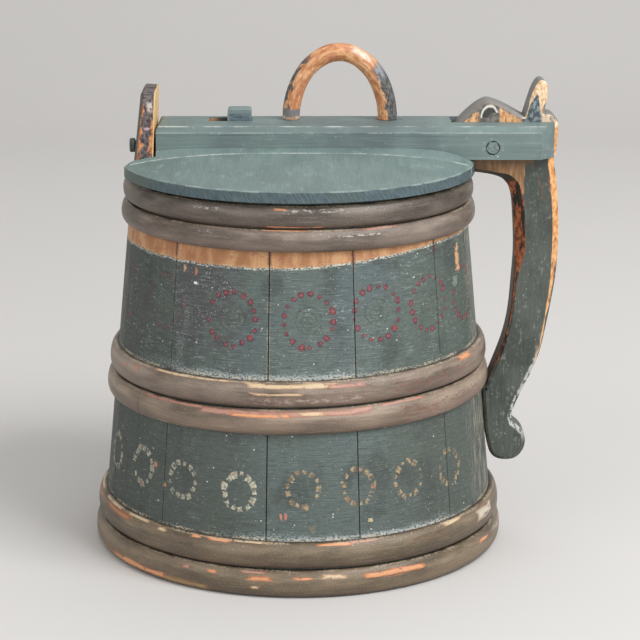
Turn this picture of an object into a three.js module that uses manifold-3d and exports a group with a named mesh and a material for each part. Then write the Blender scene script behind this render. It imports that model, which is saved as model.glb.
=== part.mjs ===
// A painted staved vessel with a hinged, bolted lid and a carved side handle.
// Millimetres, +Z up, the side handle on +X. The pieces are shaped with the vessel's axis on Z and its
// feet on Z = 0, then the whole group is moved so that the middle of its box is over the origin.
import * as THREE from "three";
import { mergeVertices } from "three/addons/utils/BufferGeometryUtils.js";
import Module from "manifold-3d";

const wasm = await Module();
wasm.setup();

// Vessel
const FOOT_RADIUS = 136.8;
const RIM_RADIUS = 112.3;
const RIM_HEIGHT = 256;
const STAVE_THICKNESS = 12;
const STAVE_GAP = 0.3;
const FIT_GAP = 0.3;
const STAVE_SIDES = 5;
// Where one stave meets the next, in degrees from the front, towards the side handle.
const STAVE_JOINT_DEGREES = [-112, -72, -42.5, -9, 17.5, 49.5, 72, 108, 135.5, 164, 192, 220, 248];
const STAVE_NAMES = [
  "ear_stave",
  "front_stave_1",
  "front_stave_2",
  "front_stave_3",
  "front_stave_4",
  "front_stave_5",
  "handle_stave",
  "rear_stave_1",
  "rear_stave_2",
  "rear_stave_3",
  "rear_stave_4",
  "rear_stave_5",
];

// Base board, held in a groove near the staves' feet
const BASE_LIFT = 14;
const BASE_THICKNESS = 12;
const BASE_TONGUE = 4.6;
const GROOVE_DEPTH = 3.6;
const BASE_SIDES = 48;

// Hoops: split branches, half round outside
const HOOP_THICKNESS = 5.3;
const HOOP_STEPS = 48;
const HOOP_LAP_STEPS = 4;
const HOOP_ROUND_STEPS = 4;
const HOOP_FULLNESS_SHARE = 0.7;
const HOOP_TIP_SHARE = 0.15;
const TOP_HOOP_HEIGHT = 15;
const TOP_HOOPS_BELOW_RIM = 1.6;
const MIDDLE_HOOP_HEIGHT = 17.4;
const MIDDLE_HOOPS_CENTRE = 124.6;
const MIDDLE_HOOPS_LEAN = 2.4;
const BOTTOM_HOOP_HEIGHT = 18.2;
const BOTTOM_HOOPS_LIFT = 0.6;
const HOOP_SPACING_GAP = 0.4;
// Where each hoop's lap starts, in degrees from the front, towards the side handle.
const HOOP_LAP_DEGREES = {
  top: { upper: 77, lower: 66 },
  middle: { upper: 71, lower: -84 },
  bottom: { upper: 78, lower: -118 },
};

// Lid
const LID_OVERHANG = 7.3;
const LID_EDGE = 6.8;
const LID_SEAT_GAP = 0.3;
const LID_SHOULDER_RISE = 9.6;
const LID_RIB_RISE = 12.2;
const LID_RIB_FLANK = 7;
const LID_STATIONS = 26;
const LID_SHOULDER_POWER = 3;
const LID_RIB_POWER = 8;
const LID_NOTCH_GAP = 1.2;
const REAR_TIP_CUT = 18;

// Cross bar
const BAR_WIDTH = 50;
const BAR_HEIGHT = 23.4;
const BAR_ABOVE_RIM = 11;
const BAR_TAIL = 41.8;
const BAR_TAIL_CHAMFER = 9.5;
const BAR_SHOULDER_DROP = 5.4;
const BAR_SHOULDER_STEP = 3.5;
const BAR_CROWN_DROP = 1.4;
const BAR_CROWN_WIDTH = 20;
const BAR_END_ROUND = 5;
const BAR_EAR_GAP = 1.5;

// Ear: the left stave's upper end
const EAR_WIDTH = 56;
const EAR_TOP_WIDTH = 50;
const EAR_HEIGHT = 58;
const EAR_THICKNESS = 16;
const EAR_ROUND = 9;
const EAR_CROWN_SHARE = 0.75;

// Bolt and thumb block
const BOLT_DIAMETER = 9.6;
const BOLT_NECK_DIAMETER = 5;
const BOLT_HEAD = 3.8;
const BOLT_HEAD_GAP = 0.7;
const BOLT_BACK_GAP = 1.7;
const BOLT_TAIL = 3.5;
const BOLT_BELOW_PIN = 2.4;
const BOLT_TRAVEL = 12.4;
const RUN_GAP = 0.4;
const BLOCK_LENGTH = 16;
const BLOCK_WIDTH = 16;
const BLOCK_ABOVE_BAR = 7.6;
const BLOCK_FROM_EAR = 48.8;
const BLOCK_ROUND = 2;
const BLOCK_STEM_DIAMETER = 4;
const BLOCK_STEM = 7;

// Bow handle: a bent branch let through the bar and the lid
const BOW_PLACE_SHARE = 0.45;
const BOW_HALF_SPAN = 32.5;
const BOW_RISE = 45;
const BOW_THIN = 12;
const BOW_THICK = 14;
const BOW_FOOT_DIAMETER = 10.4;
const BOW_STEPS = 18;
const BOW_SIDES = 10;
const BOW_WEDGE_THICKNESS = 1.4;
const BOW_WEDGE_HEIGHT = 10;

// Hinge
const PIN_STAND = 17.4;
const PIN_ABOVE_BAR = 8.1;
const PIN_DIAMETER = 8.8;
const PIN_PROUD = 0.5;
const KNUCKLE_RADIUS = 29.4;
const SLOT_CLEARANCE = 1.9;
const CHEEK_CLEARANCE = 0.4;

// Side handle
const HANDLE_THICKNESS = 22.4;
const HANDLE_CHAMFER = 2.4;
const HANDLE_STAND = 60.7;
const HEAD_REACH = 44.7;
const HORN_HEIGHT = 43.1;
const HANDLE_HOOP_CLEARANCE = 3;
const CURL_HEIGHT = 53;
const TENON_THICKNESS = 7;
const TENON_WIDTH = 8;
const TENON_HEIGHT = 11;
const PEG_DIAMETER = 5;
const FOOT_PEG_DEPTH = 7;
const CURVE_STEPS = 5;
const OUTER_STEPS = 3;
const DETAIL_STEPS = 2;

const CUT_OVERRUN = 2;
const QUARTER_DEGREES = 90;
const HALF_DEGREES = 180;
const SLOT_MOUTH_DEGREES = 60;
const ROUND_SIDES = 20;

// Places that follow from the sizes above
const staveRadius = (z) => FOOT_RADIUS + ((RIM_RADIUS - FOOT_RADIUS) * z) / RIM_HEIGHT;
const lidRadius = RIM_RADIUS + LID_OVERHANG;
const lidBottom = RIM_HEIGHT + LID_SEAT_GAP;
const lidEdgeTop = lidBottom + LID_EDGE;
const barBottom = RIM_HEIGHT + BAR_ABOVE_RIM;
const barTop = barBottom + BAR_HEIGHT;
const pinX = RIM_RADIUS + PIN_STAND;
const pinZ = barBottom + PIN_ABOVE_BAR;
const boltZ = pinZ - BOLT_BELOW_PIN;
const boltRadius = BOLT_DIAMETER / 2;
const earInner = EAR_THICKNESS - RIM_RADIUS;
const barEnd = earInner + BAR_EAR_GAP;
const slotHalf = HANDLE_THICKNESS / 2 + CHEEK_CLEARANCE;
const armEnd = pinX - KNUCKLE_RADIUS;
const slotRadius = KNUCKLE_RADIUS + SLOT_CLEARANCE;
const blockRight = earInner + BLOCK_FROM_EAR + BLOCK_LENGTH;
const bowCentre = blockRight + BOW_PLACE_SHARE * (armEnd - blockRight);
const topHoopsCentre = RIM_HEIGHT - TOP_HOOPS_BELOW_RIM - TOP_HOOP_HEIGHT - HOOP_SPACING_GAP / 2;
const bottomHoopsCentre = BOTTOM_HOOPS_LIFT + BOTTOM_HOOP_HEIGHT + HOOP_SPACING_GAP / 2;
const middleHoopsFoot = MIDDLE_HOOPS_CENTRE - MIDDLE_HOOP_HEIGHT - HOOP_SPACING_GAP / 2;
const lowerMiddleHoop = MIDDLE_HOOPS_CENTRE - (MIDDLE_HOOP_HEIGHT + HOOP_SPACING_GAP) / 2;

// Meshes and solids

// A closed surface from a list of triangle corners, facing out.
function skin(corners) {
  const positions = [];
  for (const p of corners) positions.push(p.x, p.y, p.z);
  const loose = new THREE.BufferGeometry();
  loose.setAttribute("position", new THREE.Float32BufferAttribute(positions, 3));
  return loose;
}

function solidOf(geometry) {
  const bare = geometry.clone();
  bare.deleteAttribute("normal");
  bare.deleteAttribute("uv");
  const merged = mergeVertices(bare);
  const kept = [];
  const index = merged.index.array;
  for (let i = 0; i < index.length; i += 3) {
    const [a, b, c] = [index[i], index[i + 1], index[i + 2]];
    if (a !== b && b !== c && c !== a) kept.push(a, b, c);
  }
  const vertProperties = merged.attributes.position.array;
  const build = (order) =>
    new wasm.Manifold(
      new wasm.Mesh({ numProp: 3, vertProperties, triVerts: new Uint32Array(order) }),
    );
  const made = build(kept);
  return made.volume() < 0 ? build(kept.reverse()) : made;
}

function geometryOf(solid) {
  const mesh = solid.getMesh();
  const geometry = new THREE.BufferGeometry();
  geometry.setAttribute("position", new THREE.BufferAttribute(mesh.vertProperties, 3));
  geometry.setIndex(new THREE.BufferAttribute(mesh.triVerts, 1));
  const faceted = geometry.toNonIndexed();
  faceted.computeVertexNormals();
  return faceted;
}

// A solid through closed loops of points. The two ends are capped from the flat outline given.
function loft(loops, outline) {
  const corners = [];
  const count = loops[0].length;
  for (let i = 0; i + 1 < loops.length; i++) {
    for (let j = 0; j < count; j++) {
      const k = (j + 1) % count;
      const [a, b, c, d] = [loops[i][j], loops[i + 1][j], loops[i + 1][k], loops[i][k]];
      corners.push(a, b, c, a, c, d);
    }
  }
  if (outline) {
    const last = loops[loops.length - 1];
    for (const [a, b, c] of THREE.ShapeUtils.triangulateShape(outline, [])) {
      corners.push(loops[0][a], loops[0][b], loops[0][c]);
      corners.push(last[a], last[c], last[b]);
    }
  }
  return solidOf(skin(corners));
}

function block(x0, x1, y0, y1, z0, z1) {
  const geometry = new THREE.BoxGeometry(x1 - x0, y1 - y0, z1 - z0);
  geometry.translate((x0 + x1) / 2, (y0 + y1) / 2, (z0 + z1) / 2);
  return solidOf(geometry);
}

function shapeOf(points) {
  return new THREE.Shape(points.map(([x, y]) => new THREE.Vector2(x, y)));
}

// An outline in X and Z, as thick as y0 to y1.
function platePiece(points, y0, y1, chamfer = 0) {
  const geometry = new THREE.ExtrudeGeometry(shapeOf(points), {
    depth: y1 - y0 - 2 * chamfer,
    bevelEnabled: chamfer > 0,
    bevelThickness: chamfer,
    bevelSize: chamfer,
    bevelOffset: -chamfer,
    bevelSegments: 1,
    curveSegments: 1,
  });
  geometry.rotateX(Math.PI / 2);
  geometry.translate(0, y1 - chamfer, 0);
  return solidOf(geometry);
}

// An outline in X and Y, as tall as z0 to z1.
function slabPiece(points, z0, z1) {
  const geometry = new THREE.ExtrudeGeometry(shapeOf(points), { depth: z1 - z0, bevelEnabled: false });
  geometry.translate(0, 0, z0);
  return solidOf(geometry);
}

// An outline in Y and Z, as long as x0 to x1.
function railPiece(points, x0, x1) {
  const geometry = new THREE.ExtrudeGeometry(shapeOf(points), { depth: x1 - x0, bevelEnabled: false });
  const turn = new THREE.Matrix4().makeBasis(
    new THREE.Vector3(0, 1, 0),
    new THREE.Vector3(0, 0, 1),
    new THREE.Vector3(1, 0, 0),
  );
  geometry.applyMatrix4(turn);
  geometry.translate(x0, 0, 0);
  return solidOf(geometry);
}

// A round rod between two points.
function rod(from, to, diameter, sides = ROUND_SIDES) {
  const start = new THREE.Vector3(...from);
  const end = new THREE.Vector3(...to);
  const way = end.clone().sub(start);
  const geometry = new THREE.CylinderGeometry(diameter / 2, diameter / 2, way.length(), sides);
  const turn = new THREE.Quaternion().setFromUnitVectors(
    new THREE.Vector3(0, 1, 0),
    way.clone().normalize(),
  );
  geometry.applyQuaternion(turn);
  const middle = start.add(end).multiplyScalar(1 / 2);
  geometry.translate(middle.x, middle.y, middle.z);
  return solidOf(geometry);
}

// The place at a radius and height, at an angle in radians from the front towards +X.
function around(radius, angle, z) {
  return new THREE.Vector3(radius * Math.sin(angle), -radius * Math.cos(angle), z);
}

const radians = (degrees) => (degrees * Math.PI) / HALF_DEGREES;

function arcPoints(cx, cz, radius, from, to, steps) {
  const points = [];
  for (let i = 0; i <= steps; i++) {
    const angle = radians(from + ((to - from) * i) / steps);
    points.push([cx + radius * Math.cos(angle), cz + radius * Math.sin(angle)]);
  }
  return points;
}

function smooth(points, steps = CURVE_STEPS) {
  const curve = new THREE.SplineCurve(points.map(([x, y]) => new THREE.Vector2(x, y)));
  return curve.getPoints(steps * (points.length - 1)).map((p) => [p.x, p.y]);
}

// Staves

function staveOutline() {
  const inner = (z) => staveRadius(z) - STAVE_THICKNESS;
  const groove = inner(BASE_LIFT) + GROOVE_DEPTH;
  const low = BASE_LIFT + (BASE_THICKNESS - BASE_TONGUE) / 2 - FIT_GAP;
  const high = low + BASE_TONGUE + 2 * FIT_GAP;
  return [
    [staveRadius(0), 0],
    [staveRadius(RIM_HEIGHT), RIM_HEIGHT],
    [inner(RIM_HEIGHT), RIM_HEIGHT],
    [inner(high), high],
    [groove, high],
    [groove, low],
    [inner(low), low],
    [inner(0), 0],
  ];
}

function stavePiece(from, to) {
  const outline = staveOutline();
  const loops = [];
  for (let i = 0; i <= STAVE_SIDES; i++) {
    const share = i / STAVE_SIDES;
    loops.push(
      outline.map(([r, z]) => {
        const trim = STAVE_GAP / 2 / r;
        const angle = (radians(from) + trim) * (1 - share) + (radians(to) - trim) * share;
        return around(r, angle, z);
      }),
    );
  }
  return loft(loops, outline.map(([r, z]) => new THREE.Vector2(r, z)));
}

// The part of the left stave that stands above the rim, with its keyhole for the bolt.
function earPiece() {
  const top = RIM_HEIGHT + EAR_HEIGHT;
  const half = EAR_WIDTH / 2;
  const topHalf = EAR_TOP_WIDTH / 2;
  const round = Math.min(EAR_ROUND, topHalf);
  const face = [
    [half, RIM_HEIGHT - CUT_OVERRUN],
    [half, RIM_HEIGHT],
    ...arcPoints(topHalf - round, top - round, round, 0, QUARTER_DEGREES, CURVE_STEPS),
    ...arcPoints(round - topHalf, top - round, round, QUARTER_DEGREES, HALF_DEGREES, CURVE_STEPS),
    [-half, RIM_HEIGHT],
    [-half, RIM_HEIGHT - CUT_OVERRUN],
  ];
  const below = RIM_HEIGHT - CUT_OVERRUN;
  const above = top + CUT_OVERRUN;
  const board = railPiece(face, -FOOT_RADIUS, 0);
  const crownRadius = EAR_CROWN_SHARE * (staveRadius(top) + earInner);
  const crown = [crownRadius - staveRadius(top - crownRadius), top - crownRadius];
  const side = platePiece(
    [
      [-FOOT_RADIUS, below],
      [earInner, below],
      [earInner, above],
      [crown[0], above],
      ...arcPoints(...crown, crownRadius, QUARTER_DEGREES, HALF_DEGREES, CURVE_STEPS),
      [-FOOT_RADIUS, crown[1]],
    ],
    -half,
    half,
  );
  const cone = new THREE.CylinderGeometry(
    staveRadius(above),
    staveRadius(below),
    above - below,
    BASE_SIDES * 2,
  );
  cone.rotateX(Math.PI / 2);
  cone.translate(0, 0, (above + below) / 2);
  return board.intersect(side).intersect(solidOf(cone));
}

function keyhole() {
  const seat = rod(
    [-FOOT_RADIUS, 0, boltZ],
    [0, 0, boltZ],
    BOLT_DIAMETER + 2 * RUN_GAP,
  );
  const neckHalf = BOLT_NECK_DIAMETER / 2 + RUN_GAP;
  const top = RIM_HEIGHT + EAR_HEIGHT + CUT_OVERRUN;
  return seat.add(block(-FOOT_RADIUS, 0, -neckHalf, neckHalf, boltZ, top));
}

// The tenon that carries the side handle's arm, on the right stave.
function tenonX() {
  return (armEnd + RIM_RADIUS) / 2;
}

function tenonPiece() {
  const x = tenonX();
  return block(
    x - TENON_THICKNESS / 2,
    x + TENON_THICKNESS / 2,
    -TENON_WIDTH / 2,
    TENON_WIDTH / 2,
    RIM_HEIGHT - CUT_OVERRUN,
    RIM_HEIGHT + TENON_HEIGHT,
  );
}

function tenonPeg(diameter, length) {
  const z = RIM_HEIGHT + TENON_HEIGHT / 2;
  return rod([tenonX(), -length / 2, z], [tenonX(), length / 2, z], diameter, ROUND_SIDES / 2);
}

function footPegZ() {
  return (CURL_HEIGHT + middleHoopsFoot) / 2;
}

function footPeg(diameter, grow) {
  const z = footPegZ();
  const face = staveRadius(z);
  return rod(
    [face - FOOT_PEG_DEPTH - grow, 0, z],
    [face + handleStandAt(z) + grow, 0, z],
    diameter,
    ROUND_SIDES / 2,
  );
}

// Base board

function baseBoard() {
  const top = BASE_LIFT + BASE_THICKNESS;
  const shoulder = (BASE_THICKNESS - BASE_TONGUE) / 2;
  const wall = staveRadius(top) - STAVE_THICKNESS - FIT_GAP;
  const reach = staveRadius(BASE_LIFT) - STAVE_THICKNESS + GROOVE_DEPTH - 2 * FIT_GAP;
  const profile = [
    [0, BASE_LIFT],
    [wall - shoulder, BASE_LIFT],
    [wall, BASE_LIFT + shoulder],
    [reach, BASE_LIFT + shoulder],
    [reach, top - shoulder],
    [wall, top - shoulder],
    [wall - shoulder, top],
    [0, top],
  ];
  const geometry = new THREE.LatheGeometry(
    profile.map(([r, z]) => new THREE.Vector2(r, z)),
    BASE_SIDES,
  );
  geometry.rotateX(Math.PI / 2);
  return solidOf(geometry);
}

// Hoops

// A hoop at a height. Its two ends are cut thin and lie over each other from the angle of the lap
// on, and its lean lifts it on the handle's side.
function hoopPiece({ height, centre, lean, lap }) {
  const shoulders = [];
  for (let k = 0; k <= HOOP_ROUND_STEPS; k++) {
    const turn = (Math.PI * k) / HOOP_ROUND_STEPS;
    shoulders.push([Math.sin(turn) ** HOOP_FULLNESS_SHARE, -Math.cos(turn)]);
  }
  const step = (2 * Math.PI) / HOOP_STEPS;
  const loops = [];
  for (let i = 0; i <= HOOP_STEPS + HOOP_LAP_STEPS; i++) {
    const angle = radians(lap) + i * step;
    const tipShare = (share) => HOOP_TIP_SHARE + (1 - 2 * HOOP_TIP_SHARE) * share;
    const outer = Math.min(1, tipShare(i / HOOP_LAP_STEPS));
    const over = (i - HOOP_STEPS) / HOOP_LAP_STEPS;
    const inner = over < 0 ? 0 : tipShare(over);
    const gap = over < 0 ? FIT_GAP : 2 * FIT_GAP;
    const point = (share, [out, up]) => {
      const z = centre + lean * Math.sin(angle) + (height / 2) * up;
      const depth = HOOP_THICKNESS * out * share;
      return around((staveRadius(z) + gap) / Math.cos(step / 2) + depth, angle, z);
    };
    loops.push([
      ...shoulders.map((p) => point(i <= HOOP_LAP_STEPS ? outer : 1, p)),
      ...shoulders.slice(1, -1).reverse().map((p) => point(inner, p)),
    ]);
  }
  const flat = (share) => ([out, up]) => new THREE.Vector2(out * share, up);
  const inside = shoulders.slice(1, -1).reverse();
  return loft(loops, [...shoulders.map(flat(1)), ...inside.map(flat(HOOP_TIP_SHARE))]);
}

function hoopPair(centre, height, lean) {
  const offset = (height + HOOP_SPACING_GAP) / 2;
  return {
    upper: { height, lean, centre: centre + offset },
    lower: { height, lean, centre: centre - offset },
  };
}

// Lid

const lidShoulderTop = (x) =>
  lidEdgeTop + LID_SHOULDER_RISE * (1 - Math.abs(x / lidRadius) ** LID_SHOULDER_POWER);
const lidRibTop = (x) =>
  lidEdgeTop + LID_RIB_RISE * (1 - Math.abs(x / lidRadius) ** LID_RIB_POWER);

function lidBlank() {
  const loops = [];
  for (let i = 0; i <= LID_STATIONS; i++) {
    const turn = Math.PI * (i / LID_STATIONS - 1 / 2);
    const x = lidRadius * Math.sin(turn);
    const rim = i === 0 || i === LID_STATIONS ? 0 : lidRadius * Math.cos(turn);
    const rib = Math.min(BAR_WIDTH / 2, rim);
    const shoulder = Math.min(BAR_WIDTH / 2 + LID_RIB_FLANK, rim);
    const shoulderTop = shoulder < rim ? lidShoulderTop(x) : lidEdgeTop;
    const ribTop = rib < rim ? Math.max(lidRibTop(x), shoulderTop) : lidEdgeTop;
    const side = [
      [rim, lidBottom],
      [rim, lidEdgeTop],
      [shoulder, shoulderTop],
      [rib, ribTop],
    ];
    const loop = side.map(([y, z]) => new THREE.Vector3(x, -y, z));
    for (const [y, z] of side.reverse()) loop.push(new THREE.Vector3(x, y, z));
    loops.push(loop);
  }
  return loft(loops);
}

function lidBoard() {
  const over = lidEdgeTop + LID_RIB_RISE + CUT_OVERRUN;
  const under = lidBottom - CUT_OVERRUN;
  const out = lidRadius + CUT_OVERRUN;
  const earHalf = EAR_WIDTH / 2 + LID_NOTCH_GAP;
  let lid = lidBlank();
  lid = lid.subtract(block(-out, barEnd, -earHalf, earHalf + REAR_TIP_CUT, under, over));
  const armHalf = slotHalf;
  lid = lid.subtract(block(armEnd - SLOT_CLEARANCE, out, -armHalf, armHalf, under, over));
  const dadoHalf = BAR_WIDTH / 2 + FIT_GAP;
  lid = lid.subtract(block(-out, out, -dadoHalf, dadoHalf, barBottom - FIT_GAP, over));
  for (const x of bowFeet()) lid = lid.subtract(bowHole(x, under, over));
  return lid;
}

// Cross bar

function barSection() {
  const half = BAR_WIDTH / 2;
  const side = [
    [half, barBottom],
    [half, barTop - BAR_SHOULDER_DROP],
    [half - BAR_SHOULDER_STEP, barTop - BAR_CROWN_DROP],
    [BAR_CROWN_WIDTH / 2, barTop],
  ];
  return [...side.map(([y, z]) => [-y, z]), ...side.reverse()];
}

// The groove that the bolt runs in, open below and closed by the lid board.
function boltGroove(low) {
  const radius = boltRadius + RUN_GAP;
  const end = boltEnds().back + RUN_GAP;
  const round = rod([-RIM_RADIUS, 0, boltZ], [end, 0, boltZ], 2 * radius);
  return round.add(block(-RIM_RADIUS, end, -radius, radius, low, boltZ));
}

function crossBar() {
  const half = BAR_WIDTH / 2;
  const right = pinX + BAR_TAIL;
  const wide = half + CUT_OVERRUN;
  const high = barTop + CUT_OVERRUN;
  const low = barBottom - CUT_OVERRUN;
  let bar = railPiece(barSection(), barEnd, right);
  const endRound = [barEnd + BAR_END_ROUND, barTop - BAR_END_ROUND];
  const side = [
    [barEnd, low],
    [right + CUT_OVERRUN, low],
    [right + CUT_OVERRUN, high],
    [endRound[0], high],
    ...arcPoints(...endRound, BAR_END_ROUND, QUARTER_DEGREES, HALF_DEGREES, CURVE_STEPS),
  ];
  bar = bar.intersect(platePiece(side, -wide, wide));
  const tip = half - BAR_TAIL_CHAMFER;
  const plan = [
    [-RIM_RADIUS, -half],
    [right - BAR_TAIL_CHAMFER, -half],
    [right, -tip],
    [right, tip],
    [right - BAR_TAIL_CHAMFER, half],
    [-RIM_RADIUS, half],
  ];
  bar = bar.intersect(slabPiece(plan, low, high));
  const slotEnd = arcPoints(
    pinX,
    pinZ,
    slotRadius,
    SLOT_MOUTH_DEGREES,
    2 * HALF_DEGREES - SLOT_MOUTH_DEGREES,
    2 * ROUND_SIDES,
  );
  bar = bar.subtract(platePiece(slotEnd, -slotHalf, slotHalf));
  bar = bar.subtract(block(pinX, right + CUT_OVERRUN, -slotHalf, slotHalf, low, high));
  bar = bar.subtract(boltGroove(low));
  const slotSide = BLOCK_WIDTH / 2 + RUN_GAP;
  const slotLeft = blockRight - BLOCK_LENGTH - BOLT_TRAVEL - RUN_GAP;
  bar = bar.subtract(
    block(slotLeft, blockRight + RUN_GAP, -slotSide, slotSide, low, high),
  );
  bar = bar.subtract(hingePin(PIN_DIAMETER + 2 * FIT_GAP, CUT_OVERRUN));
  for (const x of bowFeet()) bar = bar.subtract(bowHole(x, low, high));
  return bar;
}

function hingePin(diameter, proud) {
  const reach = BAR_WIDTH / 2 + proud;
  return rod([pinX, -reach, pinZ], [pinX, reach, pinZ], diameter);
}

// Bow handle

function bowFeet() {
  return [bowCentre - BOW_HALF_SPAN, bowCentre + BOW_HALF_SPAN];
}

function bowHole(x, low, high) {
  return rod([x, 0, low], [x, 0, high], BOW_FOOT_DIAMETER + 2 * FIT_GAP);
}

function bowHandle() {
  const loops = [];
  const outline = [];
  for (let k = 0; k < BOW_SIDES; k++) {
    const turn = (2 * Math.PI * k) / BOW_SIDES;
    outline.push(new THREE.Vector2(Math.cos(turn), Math.sin(turn)));
  }
  const addLoop = (x, z, tilt, radius) =>
    loops.push(
      outline.map(
        ({ x: out, y: side }) =>
          new THREE.Vector3(
            x + radius * out * Math.cos(tilt),
            radius * side,
            z + radius * out * Math.sin(tilt),
          ),
      ),
    );
  const seat = barTop + FIT_GAP;
  const foot = lidBottom + FIT_GAP;
  const [left, right] = bowFeet();
  addLoop(left, foot, Math.PI, BOW_FOOT_DIAMETER / 2);
  addLoop(left, seat, Math.PI, BOW_FOOT_DIAMETER / 2);
  for (let i = 0; i <= BOW_STEPS; i++) {
    const share = i / BOW_STEPS;
    const turn = Math.PI * (1 - share);
    const x = bowCentre + BOW_HALF_SPAN * Math.cos(turn);
    const z = seat + BOW_RISE * Math.sin(turn);
    const tilt = Math.atan2(BOW_HALF_SPAN * Math.sin(turn), BOW_RISE * Math.cos(turn));
    const radius = (BOW_THIN + (BOW_THICK - BOW_THIN) * share) / 2;
    addLoop(x, z, tilt, radius);
  }
  addLoop(right, seat, 0, BOW_FOOT_DIAMETER / 2);
  addLoop(right, foot, 0, BOW_FOOT_DIAMETER / 2);
  let bow = loft(loops, outline);
  for (const x of [left, right]) bow = bow.subtract(bowWedge(x, FIT_GAP));
  return bow;
}

function bowWedge(x, grow) {
  const foot = lidBottom + FIT_GAP;
  const wide = BOW_FOOT_DIAMETER / 2 - FIT_GAP + 2 * grow;
  const thick = BOW_WEDGE_THICKNESS / 2 + grow;
  return block(x - wide, x + wide, -thick, thick, foot - grow, foot + BOW_WEDGE_HEIGHT + grow);
}

// Bolt and thumb block

function boltEnds() {
  const shank = earInner + BOLT_BACK_GAP;
  const head = -staveRadius(boltZ) - BOLT_HEAD_GAP;
  return { shank, head, back: blockRight + BOLT_TAIL, tip: head - BOLT_HEAD };
}

function boltPiece() {
  const { shank, head, back, tip } = boltEnds();
  let bolt = rod([shank, 0, boltZ], [back, 0, boltZ], BOLT_DIAMETER);
  bolt = bolt.add(rod([head - BOLT_HEAD / 2, 0, boltZ], [back, 0, boltZ], BOLT_NECK_DIAMETER));
  bolt = bolt.add(rod([tip, 0, boltZ], [head, 0, boltZ], BOLT_DIAMETER));
  return bolt.subtract(blockStem(BLOCK_STEM_DIAMETER + 2 * FIT_GAP, FIT_GAP));
}

function blockStem(diameter, grow) {
  const x = blockRight - BLOCK_LENGTH / 2;
  const seat = boltZ + boltRadius + FIT_GAP;
  return rod([x, 0, seat - BLOCK_STEM - grow], [x, 0, seat + FIT_GAP], diameter, ROUND_SIDES / 2);
}

function thumbBlock() {
  const left = blockRight - BLOCK_LENGTH;
  const top = barTop + BLOCK_ABOVE_BAR;
  const seat = boltZ + boltRadius + FIT_GAP;
  const corner = (x, from) =>
    arcPoints(x, top - BLOCK_ROUND, BLOCK_ROUND, from, from + QUARTER_DEGREES, OUTER_STEPS);
  const outline = [
    [left, seat],
    [blockRight, seat],
    ...corner(blockRight - BLOCK_ROUND, 0),
    ...corner(left + BLOCK_ROUND, QUARTER_DEGREES),
  ];
  const head = platePiece(outline, -BLOCK_WIDTH / 2, BLOCK_WIDTH / 2);
  return head.add(blockStem(BLOCK_STEM_DIAMETER, 0));
}

// Side handle. Grip points are [height share between the middle hoops' foot and the rim,
// stand-off from the staves as a share of the handle's full stand-off].
const gripInnerShares = [
  [0.21, 0.285],
  [0.33, 0.375],
  [0.47, 0.437],
  [0.62, 0.486],
  [0.77, 0.506],
  [0.89, 0.502],
  [0.955, 0.44],
  [0.985, 0.33],
];
const gripOuterShares = [
  [1.055, 1],
  [0.97, 1.008],
  [0.88, 1.01],
  [0.77, 1.002],
  [0.65, 0.975],
  [0.53, 0.93],
  [0.43, 0.875],
  [0.28, 0.777],
  [0.15, 0.675],
  [0.045, 0.552],
];
// Curl points: [height share between the curl's foot and the middle hoops' foot, stand-off share].
const curlNeckShares = [
  [0.88, 0.428],
  [0.63, 0.32],
  [0.5, 0.312],
];
const curlShares = [
  [0.5, 0.312],
  [0.455, 0.365],
  [0.365, 0.43],
  [0.26, 0.445],
  [0.145, 0.42],
  [0.05, 0.355],
  [0, 0.27],
  [0, 0.14],
  [0.05, 0.056],
  [0.13, 0.02],
];
// The head's top around the pin: [degrees from +X upwards, share of the knuckle's radius].
const headTopShares = [
  [180, 1],
  [165, 0.955],
  [154, 0.915],
  [137, 0.891],
  [119, 0.915],
  [106, 0.963],
  [96, 0.997],
  [87, 0.966],
  [75, 0.925],
  [60, 0.908],
  [48, 0.929],
  [40, 0.973],
];
// Horn and stub points from the pin: [share of the head's reach, share of the horn's height].
const hornShares = [
  [0.564, 0.677],
  [0.62, 0.851],
  [0.687, 0.97],
  [0.752, 1],
  [0.812, 0.954],
  [0.83, 0.845],
  [0.814, 0.67],
  [0.781, 0.483],
];
const stubShares = [
  [0.9, 0.47],
  [0.962, 0.42],
  [1, 0.34],
  [1, 0.15],
  [0.991, -0.09],
];

function gripPoint([heightShare, standShare]) {
  const z = middleHoopsFoot + heightShare * (RIM_HEIGHT - middleHoopsFoot);
  return [staveRadius(z) + FIT_GAP + standShare * HANDLE_STAND, z];
}

function curlPoint([heightShare, standShare]) {
  const z = CURL_HEIGHT + heightShare * (middleHoopsFoot - CURL_HEIGHT);
  return [staveRadius(z) + FIT_GAP + standShare * HANDLE_STAND, z];
}

// How far the handle's outer side stands off the staves near the curl's neck.
function handleStandAt(z) {
  const share = (z - CURL_HEIGHT) / (middleHoopsFoot - CURL_HEIGHT);
  const [low, high] = [curlNeckShares[1], curlNeckShares[0]];
  const blend = Math.max(0, (share - low[0]) / (high[0] - low[0]));
  return (low[1] + (high[1] - low[1]) * blend) * HANDLE_STAND;
}

function knucklePoint([degrees, radiusShare]) {
  const radius = radiusShare * KNUCKLE_RADIUS;
  return [pinX + radius * Math.cos(radians(degrees)), pinZ + radius * Math.sin(radians(degrees))];
}

function headPoint([reachShare, heightShare]) {
  return [pinX + reachShare * HEAD_REACH, pinZ + heightShare * HORN_HEIGHT];
}

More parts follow.
